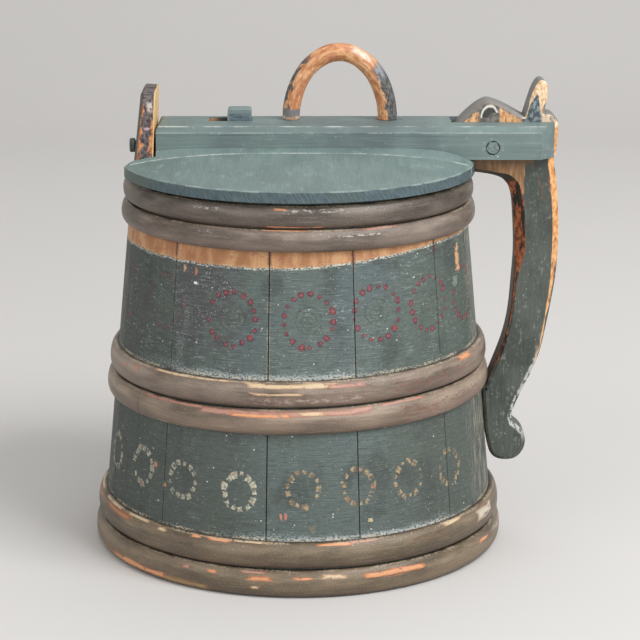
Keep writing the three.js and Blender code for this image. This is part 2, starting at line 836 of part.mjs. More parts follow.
function handleOutline() {
  const seat = RIM_HEIGHT + FIT_GAP;
  const hoopSide = [
    [staveRadius(middleHoopsFoot) + HANDLE_HOOP_CLEARANCE, middleHoopsFoot - FIT_GAP],
    [
      staveRadius(lowerMiddleHoop) + HOOP_THICKNESS + HANDLE_HOOP_CLEARANCE,
      lowerMiddleHoop + MIDDLE_HOOPS_LEAN,
    ],
  ];
  const footTop = curlPoint([0.96, 0]);
  const arm = [armEnd, seat];
  const armRight = [RIM_RADIUS + HOOP_THICKNESS + 2 * FIT_GAP, seat];
  const grip = smooth([...hoopSide, ...gripInnerShares.map(gripPoint), armRight]);
  const knuckle = smooth(headTopShares.map(knucklePoint), DETAIL_STEPS);
  const horn = smooth([knuckle[knuckle.length - 1], ...hornShares.map(headPoint)], DETAIL_STEPS);
  const stub = smooth(stubShares.map(headPoint), DETAIL_STEPS);
  const outer = smooth(
    [...gripOuterShares.map(gripPoint), ...curlNeckShares.map(curlPoint)],
    OUTER_STEPS,
  );
  const curl = smooth(curlShares.map(curlPoint), DETAIL_STEPS);
  return [
    arm,
    ...knuckle,
    ...horn.slice(1),
    ...stub,
    ...outer,
    ...curl.slice(1),
    footTop,
    ...grip,
  ];
}

function sideHandle() {
  const half = HANDLE_THICKNESS / 2;
  let handle = platePiece(handleOutline(), -half, half, HANDLE_CHAMFER);
  handle = handle.subtract(hingePin(PIN_DIAMETER + 2 * RUN_GAP, CUT_OVERRUN));
  const x = tenonX();
  const mortiseHalf = TENON_THICKNESS / 2 + FIT_GAP;
  const sideHalf = TENON_WIDTH / 2 + FIT_GAP;
  const roof = RIM_HEIGHT + TENON_HEIGHT + FIT_GAP;
  handle = handle.subtract(
    block(x - mortiseHalf, x + mortiseHalf, -sideHalf, sideHalf, RIM_HEIGHT - CUT_OVERRUN, roof),
  );
  handle = handle.subtract(tenonPeg(PEG_DIAMETER + 2 * FIT_GAP, BAR_WIDTH));
  return handle.subtract(footPeg(PEG_DIAMETER + 2 * FIT_GAP, CUT_OVERRUN));
}

// Finishes
const finish = (color, roughness) => new THREE.MeshStandardMaterial({ color, roughness, metalness: 0 });
const bodyPaint = () => finish(0x4f5e5c, 0.7);
const lidPaint = () => finish(0x76908d, 0.6);
const hoopWood = () => finish(0x75665c, 0.65);
const bareWood = () => finish(0xb98a5c, 0.7);
const handlePaint = () => finish(0x4e5755, 0.65);

const object = new THREE.Group();

function place(name, solid, material) {
  const mesh = new THREE.Mesh(geometryOf(solid), material);
  mesh.name = name;
  object.add(mesh);
}

function placeStaves() {
  STAVE_NAMES.forEach((name, i) => {
    let stave = stavePiece(STAVE_JOINT_DEGREES[i], STAVE_JOINT_DEGREES[i + 1]);
    if (name === "ear_stave") stave = stave.add(earPiece()).subtract(keyhole());
    if (name === "handle_stave") {
      stave = stave.add(tenonPiece());
      stave = stave.subtract(tenonPeg(PEG_DIAMETER + 2 * FIT_GAP, BAR_WIDTH));
      stave = stave.subtract(footPeg(PEG_DIAMETER + 2 * FIT_GAP, FIT_GAP));
    }
    place(name, stave, bodyPaint());
  });
}

function placeHoops() {
  const pairs = {
    top: hoopPair(topHoopsCentre, TOP_HOOP_HEIGHT, 0),
    middle: hoopPair(MIDDLE_HOOPS_CENTRE, MIDDLE_HOOP_HEIGHT, MIDDLE_HOOPS_LEAN),
    bottom: hoopPair(bottomHoopsCentre, BOTTOM_HOOP_HEIGHT, 0),
  };
  for (const [pair, hoops] of Object.entries(pairs)) {
    for (const [level, hoop] of Object.entries(hoops)) {
      const lap = HOOP_LAP_DEGREES[pair][level];
      place(`${pair}_hoop_${level}`, hoopPiece({ ...hoop, lap }), hoopWood());
    }
  }
}

placeStaves();
place("base_board", baseBoard(), bareWood());
placeHoops();
place("lid_board", lidBoard(), lidPaint());
place("cross_bar", crossBar(), lidPaint());
place("hinge_pin", hingePin(PIN_DIAMETER, PIN_PROUD), lidPaint());
place("bow_handle", bowHandle(), bareWood());
bowFeet().forEach((x, i) => place(`bow_wedge_${i + 1}`, bowWedge(x, 0), bareWood()));
place("bolt", boltPiece(), handlePaint());
place("thumb_block", thumbBlock(), lidPaint());
place("side_handle", sideHandle(), handlePaint());
place("handle_tenon_peg", tenonPeg(PEG_DIAMETER, HANDLE_THICKNESS - 2 * FIT_GAP), bareWood());
place("handle_foot_peg", footPeg(PEG_DIAMETER, -FIT_GAP), bareWood());

const box = new THREE.Box3().setFromObject(object);
object.position.set(-(box.min.x + box.max.x) / 2, -(box.min.y + box.max.y) / 2, -box.min.z);

export default object;
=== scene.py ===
# %% [markdown]
# # A painted staved vessel
#
# Coopers built vessels like this one from split staves, held by hoops made of split branches. The
# lid turns on a wooden pin and a sliding bolt locks it. These cells give each piece its rounded
# edges, its paint and its wear, then light it on a pale floor.
#
# A CAD model already fixes where every piece is and how it moves. We load it first and keep its
# outer size.

# %% Load the fixed frame
import math

import bmesh
import bpy
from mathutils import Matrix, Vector
from mathutils.geometry import tessellate_polygon


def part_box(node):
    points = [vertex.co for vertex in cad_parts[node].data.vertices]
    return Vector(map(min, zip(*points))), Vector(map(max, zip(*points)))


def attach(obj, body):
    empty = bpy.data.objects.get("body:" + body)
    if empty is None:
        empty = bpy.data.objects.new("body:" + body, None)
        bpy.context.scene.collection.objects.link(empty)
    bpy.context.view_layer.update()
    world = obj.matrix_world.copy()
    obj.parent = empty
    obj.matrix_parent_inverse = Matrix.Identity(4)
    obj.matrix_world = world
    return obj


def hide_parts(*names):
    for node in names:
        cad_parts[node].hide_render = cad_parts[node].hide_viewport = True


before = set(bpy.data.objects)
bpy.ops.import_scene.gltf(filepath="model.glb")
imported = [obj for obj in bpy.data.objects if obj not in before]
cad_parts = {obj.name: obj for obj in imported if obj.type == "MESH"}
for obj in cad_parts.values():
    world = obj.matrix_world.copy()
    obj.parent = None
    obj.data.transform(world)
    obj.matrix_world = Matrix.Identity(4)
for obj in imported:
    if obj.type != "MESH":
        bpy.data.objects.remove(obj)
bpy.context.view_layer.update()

# %% [markdown]
# The vessel's own axis is the natural place to measure a round thing from. It runs through the
# middle of the base board, a little left of the origin, because the side handle takes up room on
# the right. All lengths below are in millimetres from that axis and from the floor, and one
# function turns them into Blender's metres.

# %% Measure from the vessel's axis
MM = 0.001
low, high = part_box("base_board")
AXIS_X = (low.x + high.x) / 2
FOOT_RADIUS = 136.8
RIM_RADIUS = 112.3
RIM_HEIGHT = 256


def at(x, y, z):
    return Vector((AXIS_X + x * MM, y * MM, z * MM))


def around(radius, degrees, z):
    """A place on a circle. 0 degrees faces the camera and 90 is on the handle's side."""
    turn = math.radians(degrees)
    return at(radius * math.sin(turn), -radius * math.cos(turn), z)


def stave_radius(z):
    return FOOT_RADIUS + (RIM_RADIUS - FOOT_RADIUS) * z / RIM_HEIGHT


print("axis at x =", round(AXIS_X, 4), "m")

# %% [markdown]
# Paint is easier to describe in small steps: take a place, look up a noise, turn it into a mask,
# mix two colours by it. Each step is one shader node. This small class adds the nodes of a step in
# one call and gives back their output, so that a finish reads like a list of layers, from the wood
# outwards. Places reach the shader in the vessel's own millimetres, as x, y, z, as degrees round
# the axis, and as the arc length on a wall of middle radius.

# %% A small class that stacks shader nodes
def colour(red, green, blue):
    """A screen colour from 0 to 255 as the linear colour that a shader works with."""
    def linear(value):
        value /= 255
        return value / 12.92 if value <= 0.04045 else ((value + 0.055) / 1.055) ** 2.4
    return (linear(red), linear(green), linear(blue), 1.0)


class Finish:
    """One material in the making. Masks and colours are the outputs of its nodes."""

    def __init__(self, name):
        self.material = bpy.data.materials.new(name)
        self.material.use_nodes = True
        self.tree = self.material.node_tree
        self.tree.nodes.clear()
        place = self.tree.nodes.new("ShaderNodeTexCoord").outputs["Object"]
        moved = self.vector("SUBTRACT", place, (AXIS_X, 0, 0))
        self.place = self.vector("MULTIPLY", moved, (1 / MM, 1 / MM, 1 / MM))
        split = self.tree.nodes.new("ShaderNodeSeparateXYZ")
        self.put(split.inputs[0], self.place)
        self.x, self.y, self.z = split.outputs
        turn = self.calc("ARCTAN2", self.x, self.times(self.y, -1))
        self.degrees = self.times(turn, 180 / math.pi)
        self.arc = self.times(turn, (FOOT_RADIUS + RIM_RADIUS) / 2)

    def put(self, socket, value):
        if isinstance(value, bpy.types.NodeSocket):
            self.tree.links.new(value, socket)
        else:
            socket.default_value = value

    def calc(self, operation, a, b=0.0):
        node = self.tree.nodes.new("ShaderNodeMath")
        node.operation = operation
        self.put(node.inputs[0], a)
        self.put(node.inputs[1], b)
        return node.outputs[0]

    def plus(self, a, b):
        return self.calc("ADD", a, b)

    def minus(self, a, b):
        return self.calc("SUBTRACT", a, b)

    def times(self, a, b):
        return self.calc("MULTIPLY", a, b)

    def away(self, value, middle):
        """How far a value is from the middle, on either side."""
        return self.calc("ABSOLUTE", self.minus(value, middle))

    def swing(self, noise, amount):
        """A noise that swings round 0, by half the amount to either side."""
        return self.times(self.minus(noise, 0.5), amount)

    def length(self, a, b):
        return self.calc("SQRT", self.plus(self.times(a, a), self.times(b, b)))

    def vector(self, operation, a, b):
        node = self.tree.nodes.new("ShaderNodeVectorMath")
        node.operation = operation
        self.put(node.inputs[0], a)
        self.put(node.inputs[1], b)
        return node.outputs[0]

    def joined(self, x, y, z):
        node = self.tree.nodes.new("ShaderNodeCombineXYZ")
        for socket, value in zip(node.inputs, (x, y, z)):
            self.put(socket, value)
        return node.outputs[0]

    def noise(self, size, stretch=(1, 1, 1), detail=3, rough=0.55, where=None):
        """Cloudy noise whose blobs are about that many millimetres, longer along a small stretch."""
        node = self.tree.nodes.new("ShaderNodeTexNoise")
        scaled = self.vector("MULTIPLY", where or self.place, stretch)
        self.put(node.inputs["Vector"], scaled)
        node.inputs["Scale"].default_value = 1 / size
        node.inputs["Detail"].default_value = detail
        node.inputs["Roughness"].default_value = rough
        return node.outputs[0]

    def cells(self, size, stretch=(1, 1, 1), where=None):
        """The distance to the nearest of many scattered points."""
        node = self.tree.nodes.new("ShaderNodeTexVoronoi")
        scaled = self.vector("MULTIPLY", where or self.place, stretch)
        self.put(node.inputs["Vector"], scaled)
        node.inputs["Scale"].default_value = 1 / size
        return node.outputs["Distance"]

    def stored(self, name):
        """A number kept with the corners of the mesh."""
        node = self.tree.nodes.new("ShaderNodeAttribute")
        node.attribute_name = name
        return node.outputs["Fac"]

    def step(self, value, start, end):
        """0 before start, 1 after end, smooth in between. Start may be the larger one."""
        node = self.tree.nodes.new("ShaderNodeMapRange")
        node.interpolation_type = "SMOOTHSTEP"
        self.put(node.inputs["Value"], value)
        self.put(node.inputs["From Min"], start)
        self.put(node.inputs["From Max"], end)
        return node.outputs[0]

    def band(self, value, start, end, soft):
        """1 between start and end, 0 outside, with soft borders."""
        inside = self.step(value, start - soft, start + soft)
        return self.times(inside, self.step(value, end + soft, end - soft))

    def both(self, *masks):
        """Where all the masks are. A plain number weakens the result."""
        result = masks[0]
        for mask in masks[1:]:
            result = self.times(result, mask)
        return result

    def either(self, *masks):
        result = masks[0]
        for mask in masks[1:]:
            result = self.calc("MAXIMUM", result, mask)
        return result

    def mix(self, mask, under, over):
        """One colour laid over another where the mask is 1."""
        node = self.tree.nodes.new("ShaderNodeMix")
        node.data_type = "RGBA"
        self.put(node.inputs[0], mask)
        self.put(node.inputs[6], under)
        self.put(node.inputs[7], over)
        return node.outputs[2]

    def layers(self, paint, layers):
        """Several layers in turn, each a mask, how much of it is laid on, and a screen colour."""
        for mask, amount, tone in layers:
            mask = mask if amount == 1 else self.times(mask, amount)
            paint = self.mix(mask, paint, colour(*tone))
        return paint

    def finish(self, paint, roughness, relief, depth):
        shader = self.tree.nodes.new("ShaderNodeBsdfPrincipled")
        self.put(shader.inputs["Base Color"], paint)
        self.put(shader.inputs["Roughness"], roughness)
        bump = self.tree.nodes.new("ShaderNodeBump")
        bump.inputs["Distance"].default_value = depth * MM
        self.put(bump.inputs["Height"], relief)
        self.put(shader.inputs["Normal"], bump.outputs[0])
        output = self.tree.nodes.new("ShaderNodeOutputMaterial")
        self.put(output.inputs[0], shader.outputs[0])
        return self.material


print("one finish so far uses", len(Finish("trial").tree.nodes), "nodes before any paint")
bpy.data.materials.remove(bpy.data.materials["trial"])

# %% [markdown]
# Two rows of painted rings go round the vessel. Each was dabbed on with the end of a stick, dot by
# dot, with one centre after another. So the shader first has to know which ring it is near. We
# find the nearest centre with a stepped colour ramp, which carries the centre's angle in red and
# its height in green. A white noise then gives every dot its own luck.

# %% Find the nearest ring
def random_of(p, *values):
    """A number from 0 to 1 that is the same wherever the values are the same."""
    node = p.tree.nodes.new("ShaderNodeTexWhiteNoise")
    parts = list(values) + [0.0] * (3 - len(values))
    p.put(node.inputs["Vector"], p.joined(*parts))
    return node.outputs["Value"]


def nearest_ring(p, rings):
    """The nearest ring's centre as degrees round the vessel and a height."""
    ramp = p.tree.nodes.new("ShaderNodeValToRGB")
    ramp.color_ramp.interpolation = "CONSTANT"
    stops = ramp.color_ramp.elements
    while len(stops) < len(rings):
        stops.new(1)
    centres = [degrees for degrees, z in rings]
    edges = [-180] + [(a + b) / 2 for a, b in zip(centres, centres[1:])]
    for stop, edge, (degrees, z) in zip(stops, edges, rings):
        stop.position = (edge + 180) / 360
        stop.color = ((degrees + 180) / 360, z / RIM_HEIGHT, 0, 1)
    p.put(ramp.inputs[0], p.calc("DIVIDE", p.plus(p.degrees, 180), 360))
    split = p.tree.nodes.new("ShaderNodeSeparateColor")
    p.put(split.inputs[0], ramp.outputs[0])
    turn = p.minus(p.times(split.outputs[0], 360), 180)
    return turn, p.times(split.outputs[1], RIM_HEIGHT)


print("one degree is", round(math.radians(stave_radius(182)), 2), "mm on the wall at the upper rings")

# %% [markdown]
# A ring of dots needs polar coordinates round its centre: the reach from the centre and the turn
# round it. Rounding the turn gives the number of the nearest dot. No two dabs are the same, so each
# dot slips a little along its ring, wobbles in and out, has its own size, and may be missing.

# %% Dots on a ring
# As shares of a dot's radius: how far it slips and wobbles, its least size and what luck adds.
SLIP, WOBBLE, LEAST_SIZE, MORE_SIZE = 0.7, 0.6, 0.6, 0.6
# A missing dot is drawn this many times its size away.
FAR_OFF = 9


def dot_rings(p, rings, width, height, dots, dot_radius, missing, square=False, whole=0):
    """How far the nearest dot is as a share of its size, and how far the ring's centre is.

    The ring whose centre is at the angle `whole` keeps all its dots.
    """
    centre, level = nearest_ring(p, rings)
    wall = stave_radius(rings[0][1])
    across = p.minus(p.degrees, centre)
    across = p.times(across, math.radians(wall) * height / width)
    up = p.minus(p.z, level)
    reach = p.length(across, up)
    turn = p.times(p.calc("ARCTAN2", up, across), dots / (2 * math.pi))
    number = p.calc("ROUND", turn)
    off_along = p.times(p.minus(turn, number), height * math.pi / dots)
    number = p.calc("FLOORED_MODULO", number, dots)
    slip = p.swing(random_of(p, number, centre, 5.0), dot_radius * SLIP)
    off_along = p.plus(off_along, slip)
    wobble = p.times(random_of(p, number, centre, 7.0), dot_radius * WOBBLE)
    off_reach = p.minus(p.minus(reach, height / 2), wobble)
    if square:
        far = p.calc("MAXIMUM", p.calc("ABSOLUTE", off_along), p.calc("ABSOLUTE", off_reach))
    else:
        far = p.length(off_along, off_reach)
    rough = dot_radius * (1.2 if square else 1.6)
    ragged = p.swing(p.noise(1.7, detail=3), rough)
    size = p.times(random_of(p, number, centre, 9.0), MORE_SIZE)
    size = p.times(p.plus(size, LEAST_SIZE), dot_radius)
    gone = p.step(random_of(p, number, centre, 2.0), missing, missing - 0.01)
    elsewhere = p.step(p.away(centre, whole), 0.5, 1)
    gone = p.both(gone, elsewhere)
    share = p.calc("DIVIDE", p.plus(far, ragged), size)
    return p.plus(share, p.times(gone, FAR_OFF)), reach


# Degrees round the vessel, with 0 in front, and height. The rings behind are supposed.
UPPER_RINGS = [
    (-172, 182), (-148, 181), (-122, 183), (-97, 182), (-71, 182), (-46.8, 184.2), (-20.7, 180),
    (3.1, 180.2), (25.1, 182.9), (45.8, 183.3), (66.8, 182.1), (92, 182), (116, 181), (140, 183),
    (164, 182),
]
LOWER_RINGS = [
    (-163, 70), (-145, 71), (-127, 69), (-109, 70), (-91, 71), (-71, 70), (-52.7, 70.9),
    (-35.7, 69.6), (-17, 67.8), (1.4, 71), (17.4, 71.1), (33.6, 71.1), (50.7, 70.8),
    (89, 71), (108, 70), (127, 69), (146, 70), (163, 71),
]
print(len(UPPER_RINGS), "rings above and", len(LOWER_RINGS), "below")

# %% [markdown]
# Real wear isn't even: a chip here, a rubbed patch there. Noise alone would spread it everywhere,
# so a short list says where each place is, in degrees round the vessel and in millimetres or
# shares up, and noise only makes the borders ragged. The same helper serves staves and hoops.

# %% Worn patches
def ragged_patch(p, along, up, patch, jag, ragged=2.6, blur=3.0):
    """How deep inside a patch a place is: 0 on the border, 1 far inside, below 0 outside."""
    start, end, low_edge, high_edge = patch
    width, height = (end - start) / 2, (high_edge - low_edge) / 2
    sideways = p.away(along, (start + end) / 2)
    upwards = p.away(up, (low_edge + high_edge) / 2)
    sideways = p.calc("DIVIDE", p.minus(width, sideways), min(width, blur))
    upwards = p.calc("DIVIDE", p.minus(height, upwards), height)
    depth = p.calc("MINIMUM", sideways, upwards)
    return p.plus(depth, p.swing(jag, ragged))


# From degrees, to degrees, low, high, then the colour, then how much of it is left.
STAVE_CHIPS = [
    ((-39.3, -37.7, 205.5, 211.5), (222, 172, 136), 0.8),
    ((-34.6, -33.5, 205, 210.5), (196, 130, 84), 0.8),
    ((-34.9, -33.4, 199.2, 201.2), (240, 240, 236), 1),
    ((62, 65.5, 196, 216), (222, 168, 126), 0.9),
    ((59, 63, 188, 196), (142, 160, 150), 0.6),
    ((-5.4, -4.4, 50, 55.5), (208, 140, 104), 0.9),
    ((-3.9, -3.0, 50.5, 55.5), (200, 128, 112), 0.9),
    ((3, 5, 42, 48), (138, 122, 96), 0.6),
    ((20, 21.6, 46.6, 49.8), (208, 188, 152), 0.9),
    ((-38.6, -35.6, 163, 186), (132, 138, 134), 0.35),
    ((-40.8, -37.4, 146, 165), (140, 146, 140), 0.38),
    ((-47.5, -45.2, 73, 77), (186, 134, 112), 0.9),
    ((-43, -41.4, 62, 65), (198, 146, 104), 0.9),
]
print(len(STAVE_CHIPS), "chips on the staves")

# %% [markdown]
# Now the stave paint itself: thin blue-green paint that has aged for generations. It is painted darker
# towards the left and on the right as painted shade, bluish where the light falls as painted light,
# and dull near the foot. Each of these broad tones is a slow noise or a stretch of the wall, laid
# weakly over the last one, because old paint shows every layer a little.

# %% Broad tones of the stave paint
STAVE_JOINTS = [-112, -72, -42.5, -9, 17.5, 49.5, 72, 108, 135.5, 164, 192, 220, 248]
# Stretches of the wall in degrees, and heights in millimetres between which a tone comes in.
SHADED_LEFT, SHADED_RIGHT, GREEN_RIGHT = (-84, -4), (18, 70), (22, 46)
LIT, LIT_FROM = (-22, 34), (60, 140)
SMOKY, SMOKY_FROM = (-41, -19), (150, 172)
DULL_LEFT, DULL_RIGHT, DULL_BELOW = (-44, -14), (24, 44), (112, 104)


def stave_ground(p, flat, worn):
    """The broad tones. Also returns the mask of the smoky stretch."""
    cloud = p.noise(34, (1, 1, 0.7), detail=5, rough=0.6, where=flat)
    hue = p.noise(48, (1, 1, 0.6), detail=3, where=flat)
    # Painted shade: the paint is darker towards the left and on the right.
    shade = p.minus(1, p.both(p.step(p.degrees, *SHADED_RIGHT), 0.4))
    light = p.both(p.step(p.degrees, *SHADED_LEFT), shade)
    paint = p.mix(light, colour(56, 61, 55), colour(93, 106, 102))
    # Painted light: the band where the light falls turns bluer in the layers below.
    lit = p.both(p.band(p.degrees, *LIT, 16), p.step(p.z, *LIT_FROM))
    smoke = p.both(p.band(p.degrees, *SMOKY, 5), p.step(p.z, *SMOKY_FROM), p.step(worn, 0.36, 0.54))
    dull = p.either(p.band(p.degrees, *DULL_LEFT, 8), p.step(p.degrees, *DULL_RIGHT))
    paint = p.layers(paint, [
        (p.both(p.step(hue, 0.5, 0.66), lit), 0.5, (80, 98, 106)),
        (p.step(hue, 0.47, 0.33), 0.5, (80, 93, 80)),
        (p.step(p.degrees, *GREEN_RIGHT), 0.45, (80, 92, 82)),
        (p.step(cloud, 0.5, 0.36), 0.6, (56, 62, 59)),
        (smoke, 0.75, (74, 69, 74)),
        (p.step(p.z, 110, 60), 0.2, (58, 67, 64)),
        (p.both(dull, p.step(p.z, *DULL_BELOW)), 0.45, (72, 76, 70)),
    ])
    return paint, smoke


print("the wall has", len(STAVE_JOINTS) - 1, "staves")

# %% [markdown]
# The cooper scraped the wall round and round, so fine ribs run along the circumference. Rubbing has
# made them pale on top and left them dark below. Flecks and grit break the paint up at two smaller
# sizes, and the grain shows through at the ear, at the left edge and at the right edge.

# %% Ribs, flecks and grain
EAR_SIDE, LEFT_GRAIN = (-71, -76), (-40, -62)
# The grain at the right edge begins nearer to the front on the lower half.
RIGHT_GRAIN, RIGHT_GRAIN_LOW, RIGHT_GRAIN_END = (68, 76), (58, 72), (104, 90)


def stave_scuffs(p, paint, flat, ribs, worn, high_part):
    fleck = p.noise(2.4, (0.7, 1, 1), detail=4, rough=0.6, where=flat)
    grit = p.noise(0.7, detail=2, where=flat)
    bright = p.both(p.step(ribs, 0.52, 0.7), p.step(worn, 0.36, 0.64), high_part)
    return p.layers(paint, [
        (bright, 1, (136, 150, 150)),
        (p.step(ribs, 0.48, 0.34), 0.4, (50, 58, 56)),
        (p.step(fleck, 0.54, 0.7), 0.3, (124, 134, 128)),
        (p.step(fleck, 0.46, 0.32), 0.4, (54, 60, 57)),
        (p.step(grit, 0.52, 0.74), 0.34, (146, 154, 148)),
        (p.step(grit, 0.46, 0.26), 0.34, (38, 44, 42)),
    ])


def stave_grain(p, paint, flat):
    ear_grain = p.noise(1.9, (1, 1, 0.06), where=flat)
    left_grain = p.noise(2.1, (1, 1, 0.05), detail=4, where=flat)
    right_grain = p.noise(1.2, (1, 1, 0.06), detail=5, where=flat)
    right_edge = p.both(p.step(p.degrees, *RIGHT_GRAIN_LOW), p.step(p.z, 120, 112))
    right_edge = p.either(right_edge, p.step(p.degrees, *RIGHT_GRAIN))
    right_edge = p.both(right_edge, p.step(p.degrees, *RIGHT_GRAIN_END))
    return p.layers(paint, [
        (p.both(p.step(p.degrees, *EAR_SIDE), p.step(ear_grain, 0.42, 0.6)), 0.4, (116, 122, 114)),
        (p.both(p.step(left_grain, 0.52, 0.66), p.step(p.degrees, *LEFT_GRAIN)), 0.5, (44, 45, 41)),
        (p.both(p.step(right_grain, 0.5, 0.6), right_edge), 0.75, (178, 172, 156)),
    ])


print("grain shows from", LEFT_GRAIN[0], "degrees leftwards and from", RIGHT_GRAIN_LOW[0], "rightwards")

# %% [markdown]
# The smallest marks catch the eye first: pale specks where the paint has popped off the wood. A
# cell pattern gives the distance to scattered points, and keeping only the smallest distances
# leaves round dots. Three sizes of them lie here, the finest only in the smoky stretch.

# %% Scratches and specks
def stave_specks(p, paint, flat, worn, high_part, smoke):
    scratch = p.noise(1.6, (0.5, 1, 1), detail=4, where=flat)
    point = p.step(p.cells(2.3, where=flat), 0.17, 0.08)
    tiny = p.step(p.cells(1.5, where=flat), 0.2, 0.1)
    tiny = p.both(tiny, smoke, p.step(p.noise(4, where=flat), 0.44, 0.56))
    big = p.step(p.cells(6.5, where=flat), 0.09, 0.05)
    return p.layers(paint, [
        (p.both(p.step(scratch, 0.58, 0.66), p.step(worn, 0.52, 0.62), high_part), 1, (158, 166, 160)),
        (p.both(point, p.step(p.noise(6, where=flat), 0.46, 0.58)), 0.8, (188, 194, 186)),
        (p.either(tiny, p.both(point, smoke)), 0.9, (206, 206, 206)),
        (p.both(big, p.step(worn, 0.42, 0.5)), 1, (224, 226, 220)),
    ])


def stave_tones(p, flat):
    """The aged paint by itself. Also returns two noises that other layers reuse."""
    ribs = p.noise(0.85, (0.07, 1, 1), detail=3, rough=0.6, where=flat)
    worn = p.noise(15, (0.8, 1, 1), detail=5, rough=0.6, where=flat)
    paint, smoke = stave_ground(p, flat, worn)
    high_part = p.plus(0.3, p.both(p.step(p.z, 90, 150), 0.5))
    paint = stave_scuffs(p, paint, flat, ribs, worn, high_part)
    paint = stave_grain(p, paint, flat)
    return stave_specks(p, paint, flat, worn, high_part, smoke), ribs, worn


print("the finest specks lie from", SMOKY[0], "to", SMOKY[1], "degrees")

# %% [markdown]
# The upper rings are rosettes: a stamped scribble of circles in a slightly different green, with
# red dots round it. The red has faded towards the left and is almost gone on one stave. All of it is
# worked out from the reach to the ring's centre, so the stamp and the dots stay together.

# %% Red rosettes
# Width and height of a ring, how many dots, a dot's radius, the share of dots that is missing.
UPPER_SIZES = (31.2, 33, 17, 2.3, 0.08)
# The stamp's edge as a reach, and its circles: from reach, to reach, softness.
STAMP_EDGE = (9.6, 7.6)
STAMPED = [(8.6, 9.0, 0.5), (5.0, 5.3, 0.5), (2.2, 2.4, 0.4)]
# Degrees over which the red gets stronger, and the stretch that has almost none.
FADING, FADED = (-52, -28), (-46, -33)


def red_rosettes(p, paint):
    """Also returns the masks of the stamped circles and of the red dots."""
    dot, reach = dot_rings(p, UPPER_RINGS, *UPPER_SIZES)
    scribble = p.noise(1.5, (1, 1, 1), detail=3)
    wavy = p.plus(reach, p.swing(p.noise(4, detail=3), 4))
    inside = p.step(wavy, *STAMP_EDGE)
    paint = p.mix(p.both(inside, 0.16), paint, colour(74, 88, 72))
    paint = p.mix(p.both(inside, p.step(scribble, 0.52, 0.66), 0.32), paint, colour(142, 148, 128))
    stamped = p.either(*[p.band(wavy, *circle) for circle in STAMPED])
    stamped = p.both(stamped, p.step(p.noise(5, detail=2), 0.38, 0.52))
    paint = p.mix(p.both(stamped, 0.6), paint, colour(48, 56, 50))
    red = p.both(p.step(dot, 1.05, 0.7), p.step(p.noise(8, detail=3), 0.28, 0.4))
    kept = p.plus(p.both(p.step(p.degrees, *FADING), 0.45), 0.5)
    kept = p.both(kept, p.minus(1, p.both(p.band(p.degrees, *FADED, 2), 0.65)))
    # Each dot is paler towards its middle: worn paint with a painted highlight.
    reds = p.mix(p.step(p.plus(dot, scribble), 1.3, 0.4), colour(102, 38, 50), colour(160, 84, 94))
    reds = p.mix(p.both(p.step(p.noise(12), 0.6, 0.68), 0.7), reds, colour(158, 66, 48))
    return p.mix(p.both(red, kept, 0.95), paint, reds), stamped, red


print(UPPER_SIZES[2], "red dots on each rosette")

# %% [markdown]
# The lower rings are squarer dabs of a paint that has gone cream on the left and ochre on the
# right. The thick rim of a dab lasts longer than its middle, so left of the front we draw the
# outline of each dab more strongly than its inside. One ring has kept all its paint.

# %% Cream dabs
# The same five numbers as for the upper rings.
LOWER_SIZES = (19.4, 22, 13, 2.1, 0.06)
# Degrees: the whole ring's middle, the stretch that kept its paint, where ochre turns to cream.
KEPT_RING, VIVID, CREAM_LEFT = -17, (-26.5, -8), (-4, -12)


def cream_dabs(p, paint):
    """Also returns the mask of the dabs."""
    dab = dot_rings(p, LOWER_RINGS, *LOWER_SIZES, square=True, whole=KEPT_RING)[0]
    blend = p.noise(2.2, detail=3)
    left = p.step(p.degrees, *CREAM_LEFT)
    vivid = p.band(p.degrees, *VIVID, 1)
    kept = p.either(p.step(p.noise(5, detail=3), 0.32, 0.46), p.both(vivid, 0.85))
    ochre = p.mix(p.step(blend, 0.4, 0.62), colour(116, 104, 82), colour(192, 170, 132))
    ochre = p.mix(p.both(p.step(p.noise(6), 0.54, 0.62), 0.7), ochre, colour(178, 122, 100))
    cream = p.mix(p.step(blend, 0.36, 0.6), colour(132, 134, 124), colour(216, 210, 184))
    cream = p.mix(p.both(p.step(p.noise(6), 0.56, 0.64), 0.7), cream, colour(188, 150, 130))
    tones = p.mix(left, ochre, cream)
    strong = p.plus(0.6, p.both(vivid, 0.4))
    outline = p.both(p.band(dab, 0.5, 0.95, 0.16), kept, left, strong)
    filled = p.minus(0.8, p.both(left, p.minus(0.35, p.both(vivid, 0.3))))
    within = p.both(p.step(dab, 1.0, 0.65), kept, filled)
    paint = p.mix(within, paint, tones)
    return p.mix(p.both(outline, 0.8), paint, tones), within


print(LOWER_SIZES[2], "dabs on each lower ring")

# %% [markdown]
# A joint between two staves is a dark crack, and rubbing has worn its borders pale in places. The
# list says how dark each front joint is and how pale its border. Above the paint's edge the cracks
# are brown, because the wood there is bare.

# %% Cracks between the staves
# How dark each front joint is, and how much of its border is rubbed pale.
JOINT_LOOKS = {-72: (0.35, 0.1), -42.5: (0.3, 0.2), -9: (0.9, 0.6), 17.5: (0.7, 0.2), 49.5: (0.35, 0)}
OTHER_JOINTS = (0.4, 0.1)
BARE_JOINTS_FROM = (214, 216)


